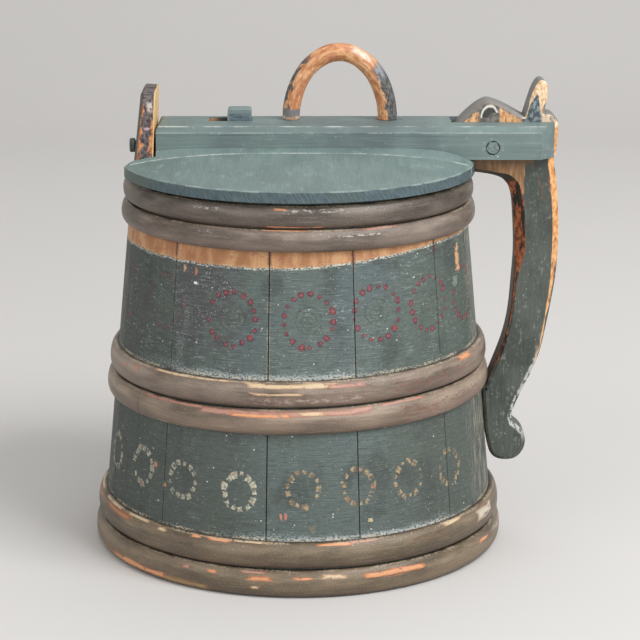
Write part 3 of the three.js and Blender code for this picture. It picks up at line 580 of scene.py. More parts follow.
def stave_cracks(p, paint, flat, crumb):
    broken = p.step(p.noise(7, (1, 1, 0.4), detail=4, where=flat), 0.46, 0.58)
    broken = p.both(broken, p.plus(0.3, p.both(p.step(p.z, 132, 146), 0.7)))
    for edge in STAVE_JOINTS[:-1]:
        dark, pale = JOINT_LOOKS.get(edge, OTHER_JOINTS)
        beside = p.minus(p.degrees, edge if edge <= 180 else edge - 360)
        if pale:
            rubbed = p.both(p.band(beside, -0.55, 0.45, 0.15), p.step(crumb, 0.44, 0.54), broken)
            paint = p.mix(p.both(rubbed, pale), paint, colour(176, 164, 142))
        off = p.calc("ABSOLUTE", beside)
        paint = p.mix(p.both(p.step(off, 0.26, 0.12), dark), paint, colour(30, 28, 27))
        gap = p.both(p.step(off, 0.9, 0.4), p.step(p.z, *BARE_JOINTS_FROM), p.step(crumb, 0.36, 0.5))
        paint = p.mix(p.both(gap, 0.7), paint, colour(92, 56, 46))
    return paint


print(len(JOINT_LOOKS), "joints with looks of their own")

# %% [markdown]
# The ear is the upper end of one stave. Nobody painted it again after hands and the bar had rubbed
# it, so it shows wood: grey and orange on its edges, cream on its inner face where the bar slides
# past. We paint it by place, because the solid has no seams there.

# %% Bare wood of the ear
EAR_FOOT = (256.5, 258.5)
EAR_MIDDLE, EAR_GREY_HALF, EAR_GREY_TOP = -102.2, 2.6, 302
EAR_EDGE, EAR_CROWN = (23.6, 24.6), (303.5, 306.5)
EAR_INNER_FACE = (-98, -97.5)
# From x, to x and from z, to z of a rubbed place below the crown and of a scar.
PALE_X, PALE_Z = (-100.3, -96.6), (299.5, 305.5)
SCAR_X, SCAR_Z = (-102.2, -98.8), (287.2, 288.8)


def ear_wood(p, paint):
    ear = p.both(p.step(p.z, *EAR_FOOT), p.step(p.x, 0, -20))
    height = p.minus(p.z, RIM_HEIGHT)
    fine = p.noise(1.7, (1, 1, 0.6), detail=4, rough=0.65)
    jag = p.noise(5, (1, 1, 0.5), detail=5, rough=0.62)
    grey = p.mix(p.step(fine, 0.36, 0.64), colour(44, 45, 54), colour(124, 112, 108))
    orange = p.mix(p.step(fine, 0.34, 0.62), colour(132, 72, 44), colour(222, 154, 102))
    off = p.away(p.x, p.plus(EAR_MIDDLE, p.times(height, 0.05)))
    off = p.plus(off, p.swing(jag, 12))
    low_down = p.step(p.minus(p.z, p.times(jag, 8)), EAR_GREY_TOP, EAR_GREY_TOP - 4)
    raw = p.mix(p.both(p.step(off, EAR_GREY_HALF, EAR_GREY_HALF + 0.8), low_down), grey, orange)
    pale = p.both(p.band(p.x, *PALE_X, 0.8), p.band(p.z, *PALE_Z, 1.5))
    raw = p.mix(p.both(pale, p.step(fine, 0.34, 0.5)), raw, colour(206, 196, 186))
    scar = p.both(p.band(p.x, *SCAR_X, 0.6), p.band(p.z, *SCAR_Z, 0.5))
    raw = p.mix(p.both(scar, 0.8), raw, colour(216, 178, 188))
    side = p.either(p.step(p.calc("ABSOLUTE", p.y), *EAR_EDGE), p.step(p.z, *EAR_CROWN))
    paint = p.mix(p.both(ear, side), paint, raw)
    new = p.mix(p.noise(5, (1, 1, 0.12), detail=3), colour(226, 178, 118), colour(252, 218, 162))
    inner = p.step(p.minus(p.x, p.times(height, 0.04)), *EAR_INNER_FACE)
    return p.mix(p.both(ear, inner), paint, new)


print("ear wood from", EAR_FOOT[0], "mm up")

# %% [markdown]
# Two things lie along the hoops. Dust and rubbed paint have gathered on the wall just above them,
# thickest near the hoop. Under the top hoops runs a strip of bare wood, where a hoop once sat
# lower: the paint ends there in a pale crust. Both follow the hoop's line, which leans a little.

# %% Dust and the bare strip
# Top of the hoop, how much the line leans, how far up the dust reaches, from and to degrees.
DUSTY = [(142.2, 2.4, 9, -52, 24), (37.2, 0, 7, -22, 56)]
STRIP_LOW, STRIP_RISE, STRIP_RISING, STRIP_TOP = 213.4, 8.4, (-15, 62), (240, 236)


def hoop_dust(p, paint, crumb, patchy):
    sine = p.calc("SINE", p.times(p.degrees, math.pi / 180))
    for hoop_top, lean, reach, start, end in DUSTY:
        off = p.minus(p.minus(p.z, hoop_top), p.times(sine, lean))
        over = p.step(off, -2, -1)
        dust = p.both(over, p.step(off, reach, 1), p.band(p.degrees, start, end, 14))
        near = p.both(over, p.step(off, reach * 0.5, 0.5), p.band(p.degrees, start + 14, end - 8, 10))
        line = p.step(p.calc("ABSOLUTE", off), 2.1, 0.9)
        paint = p.layers(paint, [
            (p.both(dust, p.step(crumb, 0.38, 0.64), patchy), 0.75, (168, 182, 184)),
            (p.both(near, p.step(crumb, 0.36, 0.56)), 0.72, (206, 212, 212)),
            (p.both(line, p.step(crumb, 0.44, 0.54), patchy), 0.85, (206, 196, 172)),
        ])
    return paint


def bare_strip(p, paint, flat, crumb, patchy, fibre):
    """Also returns the mask of the strip."""
    rise = p.both(p.step(p.degrees, *STRIP_RISING), STRIP_RISE)
    wave = p.swing(p.noise(6, (0.6, 1, 1), detail=4, where=flat), 3.4)
    over = p.minus(p.minus(p.z, STRIP_LOW), p.plus(rise, wave))
    crust = p.both(p.band(over, -1.3, 0.2, 0.5), p.step(crumb, 0.44, 0.54))
    crust = p.both(crust, p.plus(0.45, p.both(patchy, 0.5)))
    paint = p.mix(crust, paint, colour(216, 214, 200))
    stripe = p.step(p.noise(13, (1, 1, 0.4), where=flat), 0.38, 0.6)
    wood = p.mix(stripe, colour(170, 118, 78), colour(204, 157, 112))
    wood = p.mix(p.both(p.step(fibre, 0.54, 0.7), 0.5), wood, colour(160, 106, 72))
    stain = p.both(p.step(p.noise(5, (0.7, 1, 1), detail=4, where=flat), 0.54, 0.64), 0.6)
    wood = p.mix(stain, wood, colour(172, 104, 82))
    fresh = p.both(p.step(over, 2.5, -0.5), p.step(crumb, 0.4, 0.6), 0.45)
    wood = p.mix(fresh, wood, colour(222, 196, 162))
    bare = p.both(p.step(over, -0.3, 0.4), p.step(p.z, *STRIP_TOP))
    return p.mix(bare, paint, wood), bare


print("bare strip from", STRIP_LOW, "to", STRIP_TOP[0], "mm up")

# %% [markdown]
# Now all the layers of a stave in their order. The inside of the wall was never painted, so a mask
# that asks how far a place lies within the wall makes it plain wood. The relief that the light sees
# comes from the same noises as the colours: ribs stand up, dots are thick and the bare strip is low.

# %% The stave finish
# From this depth under the painted face on, the wood is bare.
INNER_WALL = 6


def stave_finish():
    p = Finish("stave_paint")
    flat = p.joined(p.arc, 0.0, p.z)
    paint, ribs, worn = stave_tones(p, flat)
    paint, stamped, red = red_rosettes(p, paint)
    paint, dabs = cream_dabs(p, paint)
    raised = p.either(red, p.both(dabs, 0.8))
    crumb = p.noise(1.2, (0.7, 1, 1), detail=3, where=flat)
    jag = p.noise(2.2, (0.7, 1, 0.8), detail=4, rough=0.6, where=flat)
    for patch, tone, amount in STAVE_CHIPS:
        depth = ragged_patch(p, p.degrees, p.z, patch, jag)
        loose = p.step(crumb, 0.55 - 0.35 * amount, 0.65 - 0.3 * amount)
        paint = p.mix(p.both(p.step(depth, 0.1, 0.4), loose, amount), paint, colour(*tone))
    patchy = p.step(p.noise(9, (0.5, 1, 1), detail=4, where=flat), 0.34, 0.58)
    fibre = p.noise(1.3, (1, 1, 0.05), detail=3, where=flat)
    paint = hoop_dust(p, paint, crumb, patchy)
    paint, bare = bare_strip(p, paint, flat, crumb, patchy, fibre)
    paint = stave_cracks(p, paint, flat, crumb)
    slope = (RIM_RADIUS - FOOT_RADIUS) / RIM_HEIGHT
    wall = p.plus(FOOT_RADIUS - INNER_WALL, p.times(p.z, slope))
    inside = p.step(p.minus(p.length(p.x, p.y), wall), 1, -1)
    plain = p.mix(p.step(fibre, 0.4, 0.66), colour(96, 70, 48), colour(148, 112, 78))
    paint = p.mix(p.both(inside, p.step(p.z, RIM_HEIGHT - 0.1, RIM_HEIGHT - 0.5)), paint, plain)
    paint = ear_wood(p, paint)

    relief = p.minus(p.times(ribs, 1.1), p.times(stamped, 0.8))
    relief = p.plus(relief, p.times(raised, 0.5))
    relief = p.minus(relief, p.times(bare, 0.6))
    return p.finish(paint, p.plus(0.42, p.times(worn, 0.3)), relief, 0.5)


stave_paint = stave_finish()
print("stave paint uses", len(stave_paint.node_tree.nodes), "nodes")

# %% [markdown]
# The hoops are split branches with the bark on, and bark chips off where things knock against it.
# The list gives each worn place, and the white painted highlights, as degrees round the vessel and as
# a height on the branch, from -1 at its lower edge to 1 at its upper one. A few named tones serve
# them all.

# %% Worn places on the hoops
# Red, green and blue, then how much of the patch the tone covers.
SALMON, ORANGE = (196, 146, 128, 0.85), (232, 166, 120, 0.9)
CREAM, OCHRE = (228, 204, 166, 0.85), (168, 140, 98, 0.9)
RUST, DUST = (186, 128, 86, 0.85), (194, 170, 162, 0.5)
# The pale white tone here is a painted highlight, where light glints on a hoop's shoulder.
WHITE_SHEEN, BROWN = (204, 202, 194, 0.6), (132, 88, 74, 0.6)
PLASTER = (208, 200, 180, 0.95)
HOOP_PATCHES = {
    "top_hoop_upper": [
        ((-10, 8, -0.96, -0.8), ORANGE), ((-7.5, -3, 0.6, 0.78), ORANGE),
        ((-36, -25, 0.3, 0.62), WHITE_SHEEN), ((-5, 16, 0.35, 0.75), WHITE_SHEEN), ((-40, 12, -0.98, -0.86), BROWN),
    ],
    "top_hoop_lower": [
        ((20, 34, 0.78, 0.97), SALMON), ((10, 21, 0.66, 0.9), BROWN), ((8, 28, 0.3, 0.55), WHITE_SHEEN),
        ((-34, -27, 0.4, 0.7), WHITE_SHEEN), ((-12, 4, 0.88, 0.98), ORANGE),
    ],
    "middle_hoop_upper": [
        ((-15, 12, 0.5, 0.9), CREAM), ((-14, 2, -0.02, 0.22), CREAM), ((-16, 20, -0.7, -0.1), DUST),
        ((8, 20, 0.45, 0.8), SALMON), ((-66, -62, 0.25, 0.5), SALMON), ((-58, -55, 0.4, 0.7), SALMON),
        ((56, 66, 0.55, 0.95), ORANGE), ((-48, -20, 0.82, 0.98), CREAM), ((28, 66, -0.8, 0.5), BROWN),
    ],
    "middle_hoop_lower": [
        ((-30, 22, 0.42, 0.92), SALMON), ((-20, -2, 0.42, 0.72), ORANGE),
        ((-52, -28, 0.74, 0.97), SALMON), ((0, 8, 0.5, 0.8), CREAM), ((24, 40, 0.76, 0.96), SALMON),
        ((30, 70, -0.9, 0.5), BROWN), ((-62, -32, -0.98, -0.9), CREAM),
    ],
    "bottom_hoop_upper": [
        ((-94, -80, 0.84, 0.99), CREAM), ((-74, -60, 0.8, 0.99), CREAM), ((-56, -46, 0.82, 0.99), CREAM),
        ((-90, -76, 0.4, 0.8), RUST), ((-70, -54, 0.4, 0.84), RUST), ((-43, -39, 0.6, 0.95), CREAM),
        ((-31, -27, 0.75, 0.95), ORANGE), ((-26, -18, 0.72, 0.97), ORANGE),
        ((-18, -8, 0.86, 0.99), CREAM), ((4, 16, 0.7, 0.95), ORANGE), ((14, 23, 0.78, 0.97), SALMON),
        ((45, 53, 0.7, 0.95), CREAM), ((32, 48, 0.1, 0.6), BROWN), ((60, 72, -0.1, 0.8), PLASTER),
    ],
    "bottom_hoop_lower": [
        ((-33, -30.5, 0.45, 0.7), SALMON), ((-26, -21.5, 0.4, 0.72), ORANGE),
        ((-14, -6.5, 0.25, 0.6), ORANGE), ((-16, -8, 0.72, 0.9), SALMON),
        ((-1.5, 4, 0.35, 0.6), ORANGE), ((6, 13, 0.4, 0.75), CREAM), ((17, 37, 0.15, 0.72), ORANGE),
        ((60, 67, 0.25, 0.6), ORANGE), ((-104, -24, -0.98, -0.4), OCHRE),
        ((-62, -38, -0.8, -0.3), ORANGE), ((-13, -10, -0.4, -0.15), CREAM), ((70, 84, 0, 0.6), WHITE_SHEEN),
    ],
}
print(sum(len(patches) for patches in HOOP_PATCHES.values()), "worn places on the hoops")

# %% [markdown]
# The wood of a hoop runs round the vessel, so its grain noise is measured in arc length and height
# and stretched along the arc. A number called up is kept with every corner of a hoop, so that the
# shader knows the branch's shoulder from its edges: the shoulder is paler, partly rubbed and partly a
# painted highlight, the lower half is darker and warmer, partly its own tone and partly painted
# shade, and both edges get a painted shadow where they meet the wall.

# %% Hoop wood
def hoop_finish(name, dark, middle, pale, patches):
    p = Finish(name)
    up = p.stored("up")
    long_way = p.joined(p.arc, 0.0, p.z)
    soft = p.noise(20, (0.35, 1, 1.4), detail=4, rough=0.6, where=long_way)
    streak = p.noise(1.6, (0.06, 1, 1), detail=4, where=long_way)
    crumb = p.noise(1.1, (0.8, 1, 1), detail=3, where=long_way)
    jag = p.noise(2.8, (0.13, 1, 1.1), detail=5, rough=0.62, where=long_way)
    grit = p.noise(0.75, detail=2, where=long_way)
    upper_part = p.step(up, -0.3, 0.8)
    speck = p.both(p.step(p.cells(2.4, where=long_way), 0.18, 0.07), p.step(soft, 0.44, 0.6))
    scrape = p.both(p.step(crumb, 0.58, 0.66), p.step(p.noise(8, where=long_way), 0.5, 0.62))
    # By height on the branch: a painted highlight on the shoulder, and a darker, warmer lower half that is
    # partly the wood's own tone and partly painted shade.
    paint = p.layers(p.mix(p.step(soft, 0.34, 0.64), colour(*dark), colour(*middle)), [
        (p.both(p.band(up, 0.15, 0.75, 0.3), p.step(soft, 0.36, 0.66)), 0.5, pale),
        (p.step(up, -0.25, -0.95), 0.4, (84, 62, 52)),
        (p.step(streak, 0.54, 0.72), 0.3, pale),
        (p.step(streak, 0.46, 0.32), 0.3, dark),
        (p.step(grit, 0.54, 0.76), 0.4, (190, 180, 164)),
        (p.step(grit, 0.46, 0.26), 0.4, (54, 47, 41)),
        (p.both(speck, upper_part), 0.8, (206, 198, 180)),
        (p.both(scrape, upper_part), 0.6, (176, 160, 138)),
    ])
    # Torn bark: ragged along the grain, then broken into bits.
    torn = p.plus(p.times(jag, 0.6), p.times(streak, 0.4))
    bits = p.noise(2.2, (0.45, 1, 1), detail=4, rough=0.65, where=long_way)
    for patch, tone in patches:
        *full, amount = tone
        depth = ragged_patch(p, p.degrees, up, patch, torn, ragged=3.2)
        fine = 0.36 if amount > 0.8 else 0.5
        worn = p.both(p.step(depth, 0.05, 0.3), p.step(bits, fine, fine + 0.06))
        rim = [value * share for value, share in zip(full, (0.78, 0.66, 0.62))]
        tones = p.mix(p.step(p.plus(depth, bits), 0.6, 1.3), colour(*rim), colour(*full))
        paint = p.mix(p.both(worn, amount), paint, tones)
    ridge = p.both(p.step(up, 0.82, 0.95), p.step(jag, 0.46, 0.56), p.step(crumb, 0.4, 0.52))
    paint = p.mix(p.both(ridge, 0.7), paint, colour(196, 180, 156))
    # Painted shadow: both edges go dark where they meet the wall.
    paint = p.mix(p.both(p.step(p.calc("ABSOLUTE", up), 0.95, 0.998), 0.85), paint, colour(30, 25, 22))
    relief = p.plus(p.times(streak, 0.5), p.times(jag, 0.6))
    gloss = p.plus(0.3, p.times(soft, 0.26))
    return p.finish(paint, gloss, relief, 0.6)


# Dark, middle and pale wood of each hoop. The pale tone also makes the painted highlight on the shoulder.
HOOP_TONES = {
    "top_hoop_upper": ((72, 65, 58), (104, 94, 85), (152, 141, 130)),
    "top_hoop_lower": ((92, 81, 72), (128, 113, 102), (176, 161, 149)),
    "middle_hoop_upper": ((100, 87, 76), (140, 122, 108), (186, 171, 156)),
    "middle_hoop_lower": ((104, 90, 77), (142, 123, 107), (188, 170, 152)),
    "bottom_hoop_upper": ((80, 69, 54), (116, 100, 80), (156, 140, 117)),
    "bottom_hoop_lower": ((90, 78, 62), (126, 109, 88), (166, 149, 126)),
}
hoop_wood = {
    name: hoop_finish(name + "_wood", *HOOP_TONES[name], patches)
    for name, patches in HOOP_PATCHES.items()
}
print(len(hoop_wood), "hoop finishes")

# %% [markdown]
# The lid and its bar share one paint, paler than the wall's. Its layers are written once, and each
# piece gives the direction of its own grain: the lid board's runs from front to back, the bar's
# along the bar. The long edges are pale, partly rubbed by hands and partly a painted highlight. The
# mask of such an edge is simply a narrow line at a known place, broken up by noise.

# %% Paint that lid, bar, block and pin share
def lid_tones(p, grain_stretch, base):
    """The paint that board, bar, block and pin share, then its noises for the relief."""
    cloud = p.noise(40, detail=4)
    grain = p.noise(1.5, grain_stretch, detail=4, rough=0.6)
    broad = p.noise(7, grain_stretch, detail=3)
    worn = p.noise(14, detail=5, rough=0.6)
    pit = p.both(p.step(p.cells(9, (1, 1.3, 1)), 0.07, 0.04), p.step(p.noise(30), 0.5, 0.6))
    paint = p.mix(p.step(cloud, 0.3, 0.7), base, colour(119, 138, 135))
    paint = p.layers(paint, [
        (p.step(broad, 0.42, 0.7), 0.4, (96, 115, 113)),
        (p.step(grain, 0.55, 0.78), 0.35, (156, 170, 165)),
        (p.step(grain, 0.44, 0.28), 0.3, (82, 98, 97)),
        (p.both(p.step(worn, 0.54, 0.68), p.step(grain, 0.36, 0.6)), 0.28, (160, 173, 167)),
        (p.both(p.step(p.cells(4.4), 0.13, 0.06), p.step(worn, 0.46, 0.56)), 0.6, (200, 205, 198)),
        (pit, 0.7, (52, 60, 58)),
    ])
    return paint, worn, p.plus(grain, p.times(broad, 0.6))


def lid_shine(p, worn):
    """Rougher where the paint is worn."""
    return p.plus(0.42, p.times(worn, 0.2))


def rubbed_highlight_line(p, paint, off, half, amount, stretch=(0.3, 1, 1)):
    """A pale broken line where `off` is near 0: rubbed paint with a painted highlight."""
    line = p.step(p.calc("ABSOLUTE", off), half, half * 0.3)
    broken = p.step(p.noise(9, stretch, detail=5, rough=0.65), 0.42, 0.58)
    crumb = p.step(p.noise(1.4, detail=2), 0.3, 0.46)
    return p.mix(p.both(line, broken, crumb, amount), paint, colour(204, 207, 200))


print("one paint for board, bar, block and pin")

# %% [markdown]
# The lid board is a disc whose middle stands up as a long strip, with a pale line along both its
# shoulders, partly rubbed and partly a painted highlight. The edge is painted darker than the top as
# painted shade, the painter pulled slanted strokes across it, and the upper corner has lost its
# paint. Underneath, where no brush went, it is bare wood with a painted rim.

# %% Lid board
LID_RADIUS = 119.6
LID_EDGE, LID_EDGE_TOP = 6.8, 263.1
SHOULDER_AT = 32


def board_finish():
    p = Finish("board_paint")
    paint, worn, relief = lid_tones(p, (1, 0.05, 1), colour(106, 124, 122))
    reach = p.length(p.x, p.y)
    slanted = p.plus(p.arc, p.times(p.z, 0.7))
    stroke = p.noise(1.3, detail=3, where=p.joined(slanted, 0.0, p.times(p.z, 0.2)))
    # Painted shade: the edge's paint is darker than the top's, crossed by slanted strokes.
    edge = p.mix(p.step(stroke, 0.36, 0.68), colour(66, 83, 88), colour(92, 111, 116))
    edge = p.mix(p.both(p.step(worn, 0.5, 0.62), 0.4), edge, colour(78, 92, 86))
    edge = p.mix(p.step(p.degrees, -48, -62), edge, colour(84, 98, 92))
    below = p.minus(LID_EDGE_TOP, p.z)
    outside = p.step(reach, LID_RADIUS - 3, LID_RADIUS - 2)
    paint = p.mix(p.both(p.step(below, -0.2, 0.3), outside), paint, edge)
    arris = p.both(p.band(below, -0.3, 0.4, 0.3), outside)
    broken = p.both(p.step(worn, 0.42, 0.56), p.step(p.degrees, -56, -40), 0.6)
    paint = p.mix(p.both(arris, broken), paint, colour(166, 182, 177))
    # A pale line along both shoulders of the strip: rubbed paint with a painted highlight.
    off = p.minus(p.calc("ABSOLUTE", p.y), SHOULDER_AT)
    paint = rubbed_highlight_line(p, paint, off, 0.9, 0.8)
    under = p.step(below, LID_EDGE - 0.5, LID_EDGE - 0.2)
    under = p.both(under, p.step(reach, LID_RADIUS - 5, LID_RADIUS - 6))
    bare = p.mix(p.step(relief, 0.6, 1.1), colour(116, 84, 56), colour(170, 130, 90))
    paint = p.mix(under, paint, bare)
    return p.finish(paint, lid_shine(p, worn), relief, 0.35)


board_paint = board_finish()
print("board finish uses", len(board_paint.node_tree.nodes), "nodes")

# %% [markdown]
# The bar has two pale lines along each side, partly rubbed and partly painted highlights, a painted
# shadow line along the left of its foot, small dark holes beside the feet of the bow, a bare slot in
# which the thumb block slides, and a ring of painted shade round the hinge pin. All of these are
# places on the CAD piece, so they are named here once.

# %% Cross bar
# Each edge: how far from the middle line, how high, half its width, how much is left.
BAR_EDGES = [(25, 285, 0.6, 0.4), (21.5, 289, 0.9, 0.85)]
BAR_TOP = 290.4
SHADOW_LINE = (266.5, 269.5)
BOLT_SLOT = (-60.3, -31)
SLOT_HALF = 8.6
PIN_X, PIN_Z, PIN_RADIUS = 129.7, 275.1, 4.4
# Small dark holes in the bar beside the feet of the bow.
FOOT_HOLES = [(-12, 0), (53, -2), (69, -1)]


def pin_ring(p):
    """How far a place is from the rim of the hinge pin, seen from the front."""
    reach = p.length(p.minus(p.x, PIN_X), p.minus(p.z, PIN_Z))
    return p.minus(reach, PIN_RADIUS)


def bar_finish():
    p = Finish("bar_paint")
    paint, worn, relief = lid_tones(p, (0.04, 1, 1), colour(101, 115, 115))
    # Pale lines along the bar's edges: rubbed paint with a painted highlight.
    for across, height, half, amount in BAR_EDGES:
        off = p.minus(p.calc("ABSOLUTE", p.y), across)
        off = p.length(off, p.minus(p.z, height))
        paint = rubbed_highlight_line(p, paint, off, half, amount)
    # Painted shadow: a dark broken line along the bar's foot on the left, where it meets the lid.
    shadow_line = p.both(p.band(p.z, *SHADOW_LINE, 0.8), p.step(p.x, -30, -60), p.step(worn, 0.36, 0.5))
    paint = p.mix(p.both(shadow_line, 0.7), paint, colour(58, 70, 70))
    for x, y in FOOT_HOLES:
        reach = p.length(p.minus(p.x, x), p.minus(p.y, y))
        hole = p.both(p.step(reach, 1.6, 0.8), p.step(p.z, BAR_TOP - 2, BAR_TOP - 1.5))
        paint = p.mix(hole, paint, colour(40, 38, 36))
    slot = p.both(p.band(p.x, *BOLT_SLOT, 0.3), p.step(p.calc("ABSOLUTE", p.y), SLOT_HALF, SLOT_HALF - 0.3))
    slot = p.both(slot, p.step(p.z, BAR_TOP - 0.4, BAR_TOP - 0.8))
    bare = p.mix(p.step(p.x, BOLT_SLOT[0] + 8, BOLT_SLOT[0] + 2), colour(72, 50, 42), colour(206, 146, 96))
    paint = p.mix(slot, paint, bare)
    ring = pin_ring(p)
    # Painted shade: a dark broken ring in the gap round the hinge pin.
    pin_gap_shade = p.step(p.noise(4, detail=3), 0.48, 0.58)
    paint = p.mix(p.both(p.band(ring, 0, 0.5, 0.25), pin_gap_shade), paint, colour(40, 46, 48))
    crumb = p.both(p.band(ring, 0.4, 3, 0.6), p.step(p.noise(1.3), 0.6, 0.66), 0.8)
    paint = p.mix(crumb, paint, colour(196, 202, 198))
    return p.finish(paint, lid_shine(p, worn), relief, 0.35)


bar_paint = bar_finish()
print("bar finish uses", len(bar_paint.node_tree.nodes), "nodes")

# %% [markdown]
# The thumb block's front is bluer and darker, because the thumb never touches it there. The pin's
# end is end grain, rough and streaky, inside a ring of painted shade where the hole shows.

# %% Thumb block and pin
BLOCK_FRONT = (-6.8, -7.6)
# From x, to x of the front, measured from the slot's right end when the bolt is open.
BLOCK_LEFT, BLOCK_RIGHT = -15.2, -1.6


def block_finish():
    p = Finish("block_paint")
    paint, worn, relief = lid_tones(p, (0.3, 1, 1), colour(101, 115, 115))
    front = p.both(p.step(p.y, *BLOCK_FRONT), p.step(p.z, BAR_TOP + 5.6, BAR_TOP + 4.4))
    inside = p.band(p.x, BOLT_SLOT[1] + BLOCK_LEFT, BOLT_SLOT[1] + BLOCK_RIGHT, 0.5)
    streak = p.noise(2, (0.25, 1, 1), detail=4)
    blue = p.mix(p.step(streak, 0.36, 0.64), colour(70, 82, 92), colour(104, 118, 126))
    paint = p.mix(p.both(front, inside, 0.9), paint, blue)
    return p.finish(paint, lid_shine(p, worn), relief, 0.35)


def pin_finish():
    p = Finish("pin_paint")
    paint, _, relief = lid_tones(p, (1, 1, 1), colour(96, 112, 112))
    streak = p.noise(1.6, (0.5, 1, 1), detail=3)
    paint = p.mix(p.both(p.step(streak, 0.5, 0.64), 0.6), paint, colour(150, 166, 164))
    paint = p.mix(p.both(p.step(streak, 0.44, 0.34), 0.7), paint, colour(50, 60, 62))
    # Painted shade round the rim of the pin's end, where the hole shows.
    shade = p.both(p.step(pin_ring(p), -0.9, -0.3), p.step(p.noise(4), 0.46, 0.56))
    paint = p.mix(p.both(shade, 0.8), paint, colour(40, 46, 48))
    relief = p.plus(relief, p.times(streak, 2.5))
    return p.finish(paint, 0.5, relief, 0.6)


block_paint, pin_paint = block_finish(), pin_finish()
print("block finish uses", len(block_paint.node_tree.nodes), "nodes")

# %% [markdown]
# The bow is a branch rubbed down to orange wood, with dark paint left in the hollows. Its finish
# uses the bow's own coordinates: the turn along the arch, 0 at the right foot and 180 at the left,
# and the share by which a place lies outwards of the middle line. Noise that is stretched along
# the turn follows the bend, as real grain does.

# %% Bare branch of the bow
BOW_CENTRE = 27.7
BOW_HALF_SPAN = 32.5
BOW_RISE = 45
BOW_SEAT = 290.7
# Degrees along the arch.
LEFT_PAINT, RIGHT_PAINT, BLUE_PAINT = (118, 132), (52, 44), (34, 47)
SHINE, FOOT_BAND = (55, 75), (120, 140)


def branch_finish():
    p = Finish("bow_branch")
    across = p.calc("DIVIDE", p.minus(p.x, BOW_CENTRE), BOW_HALF_SPAN)
    up = p.calc("DIVIDE", p.minus(p.z, BOW_SEAT), BOW_RISE)
    outwards = p.minus(p.length(across, up), 1)
    turn = p.times(p.calc("ARCTAN2", up, across), 180 / math.pi)
    along = p.joined(p.times(turn, 0.65), p.times(outwards, 40), p.y)
    streak = p.noise(2.2, (0.35, 1, 1), detail=5, where=along)
    fine = p.noise(1.2, (0.6, 1, 1), detail=3, where=along)
    patch = p.noise(7, (0.7, 1, 1), detail=5, rough=0.65, where=along)
    paint = p.mix(p.step(streak, 0.32, 0.68), colour(188, 120, 76), colour(234, 180, 132))
    # Painted highlight: a pale shine on the right shoulder of the arch.
    shine = p.both(p.band(turn, *SHINE, 4), p.band(outwards, 0.05, 0.13, 0.03), p.step(fine, 0.38, 0.5))
    paint = p.layers(paint, [
        (p.step(patch, 0.54, 0.64), 0.5, (178, 98, 72)),
        (p.step(patch, 0.42, 0.34), 0.7, (238, 206, 166)),
        (shine, 0.85, (236, 226, 212)),
    ])

    worn = p.plus(outwards, p.swing(patch, 0.7))
    left_leg = p.both(p.step(turn, *LEFT_PAINT), p.step(worn, 0.11, 0.15))
    right_leg = p.both(p.step(turn, *RIGHT_PAINT), p.step(worn, -0.03, 0.01))
    old = p.mix(p.step(fine, 0.4, 0.64), colour(48, 56, 56), colour(104, 114, 116))
    blue = p.mix(p.step(streak, 0.4, 0.6), colour(92, 100, 112), colour(150, 156, 166))
    old = p.mix(p.both(p.band(turn, *BLUE_PAINT, 3), 0.8), old, blue)
    paint = p.mix(p.both(p.either(left_leg, right_leg), 0.95), paint, old)
    smut = p.step(p.noise(4, (0.5, 1, 1), detail=5, rough=0.65, where=along), 0.62, 0.67)
    paint = p.mix(p.both(smut, 0.6), paint, colour(100, 70, 52))

    left_foot = p.step(turn, *FOOT_BAND)
    low_down = p.plus(p.z, p.times(patch, 4))
    band = p.both(p.band(low_down, 294.6, 300, 0.6), left_foot)
    paint = p.mix(p.both(band, 0.9), paint, p.mix(fine, colour(74, 84, 92), colour(140, 148, 152)))
    paint = p.layers(paint, [
        (p.both(p.step(low_down, 295, 294), p.step(fine, 0.44, 0.5), left_foot), 0.8, (206, 196, 182)),
        (p.step(p.cells(6.5), 0.11, 0.06), 0.8, (84, 50, 32)),
    ])
    return p.finish(paint, 0.45, p.minus(streak, p.times(patch, 0.6)), 0.6)


bow_branch = branch_finish()
print("bow finish uses", len(bow_branch.node_tree.nodes), "nodes")

# %% [markdown]
# The side handle is painted dark green, and every cut edge shows bare wood. Three numbers are kept
# with the corners of its mesh, which is made further down: how much a place is a knife cut, whether
# it is on the narrow side of the plank, and which way the edge faces. The finish is long, so it
# comes in parts. The first part is the paint of the broad face and what lies behind it: a brown
# narrow side on the inside, darkened as painted shade, and tan wood on the arm, where the lid's fork
# has rubbed the paint off, darkened as painted shade under the bar and towards the left.

# %% Paint of the side handle
HEAD_FROM = (286, 288)
HORN_FROM = (149.6, 150.6)
NARROW_SIDE = (0.5, 0.8)
BROAD_FACE = (10.7, 11.0)
ARM_FROM, ARM_LEFT_OF = (240, 242), (151.6, 150.8)


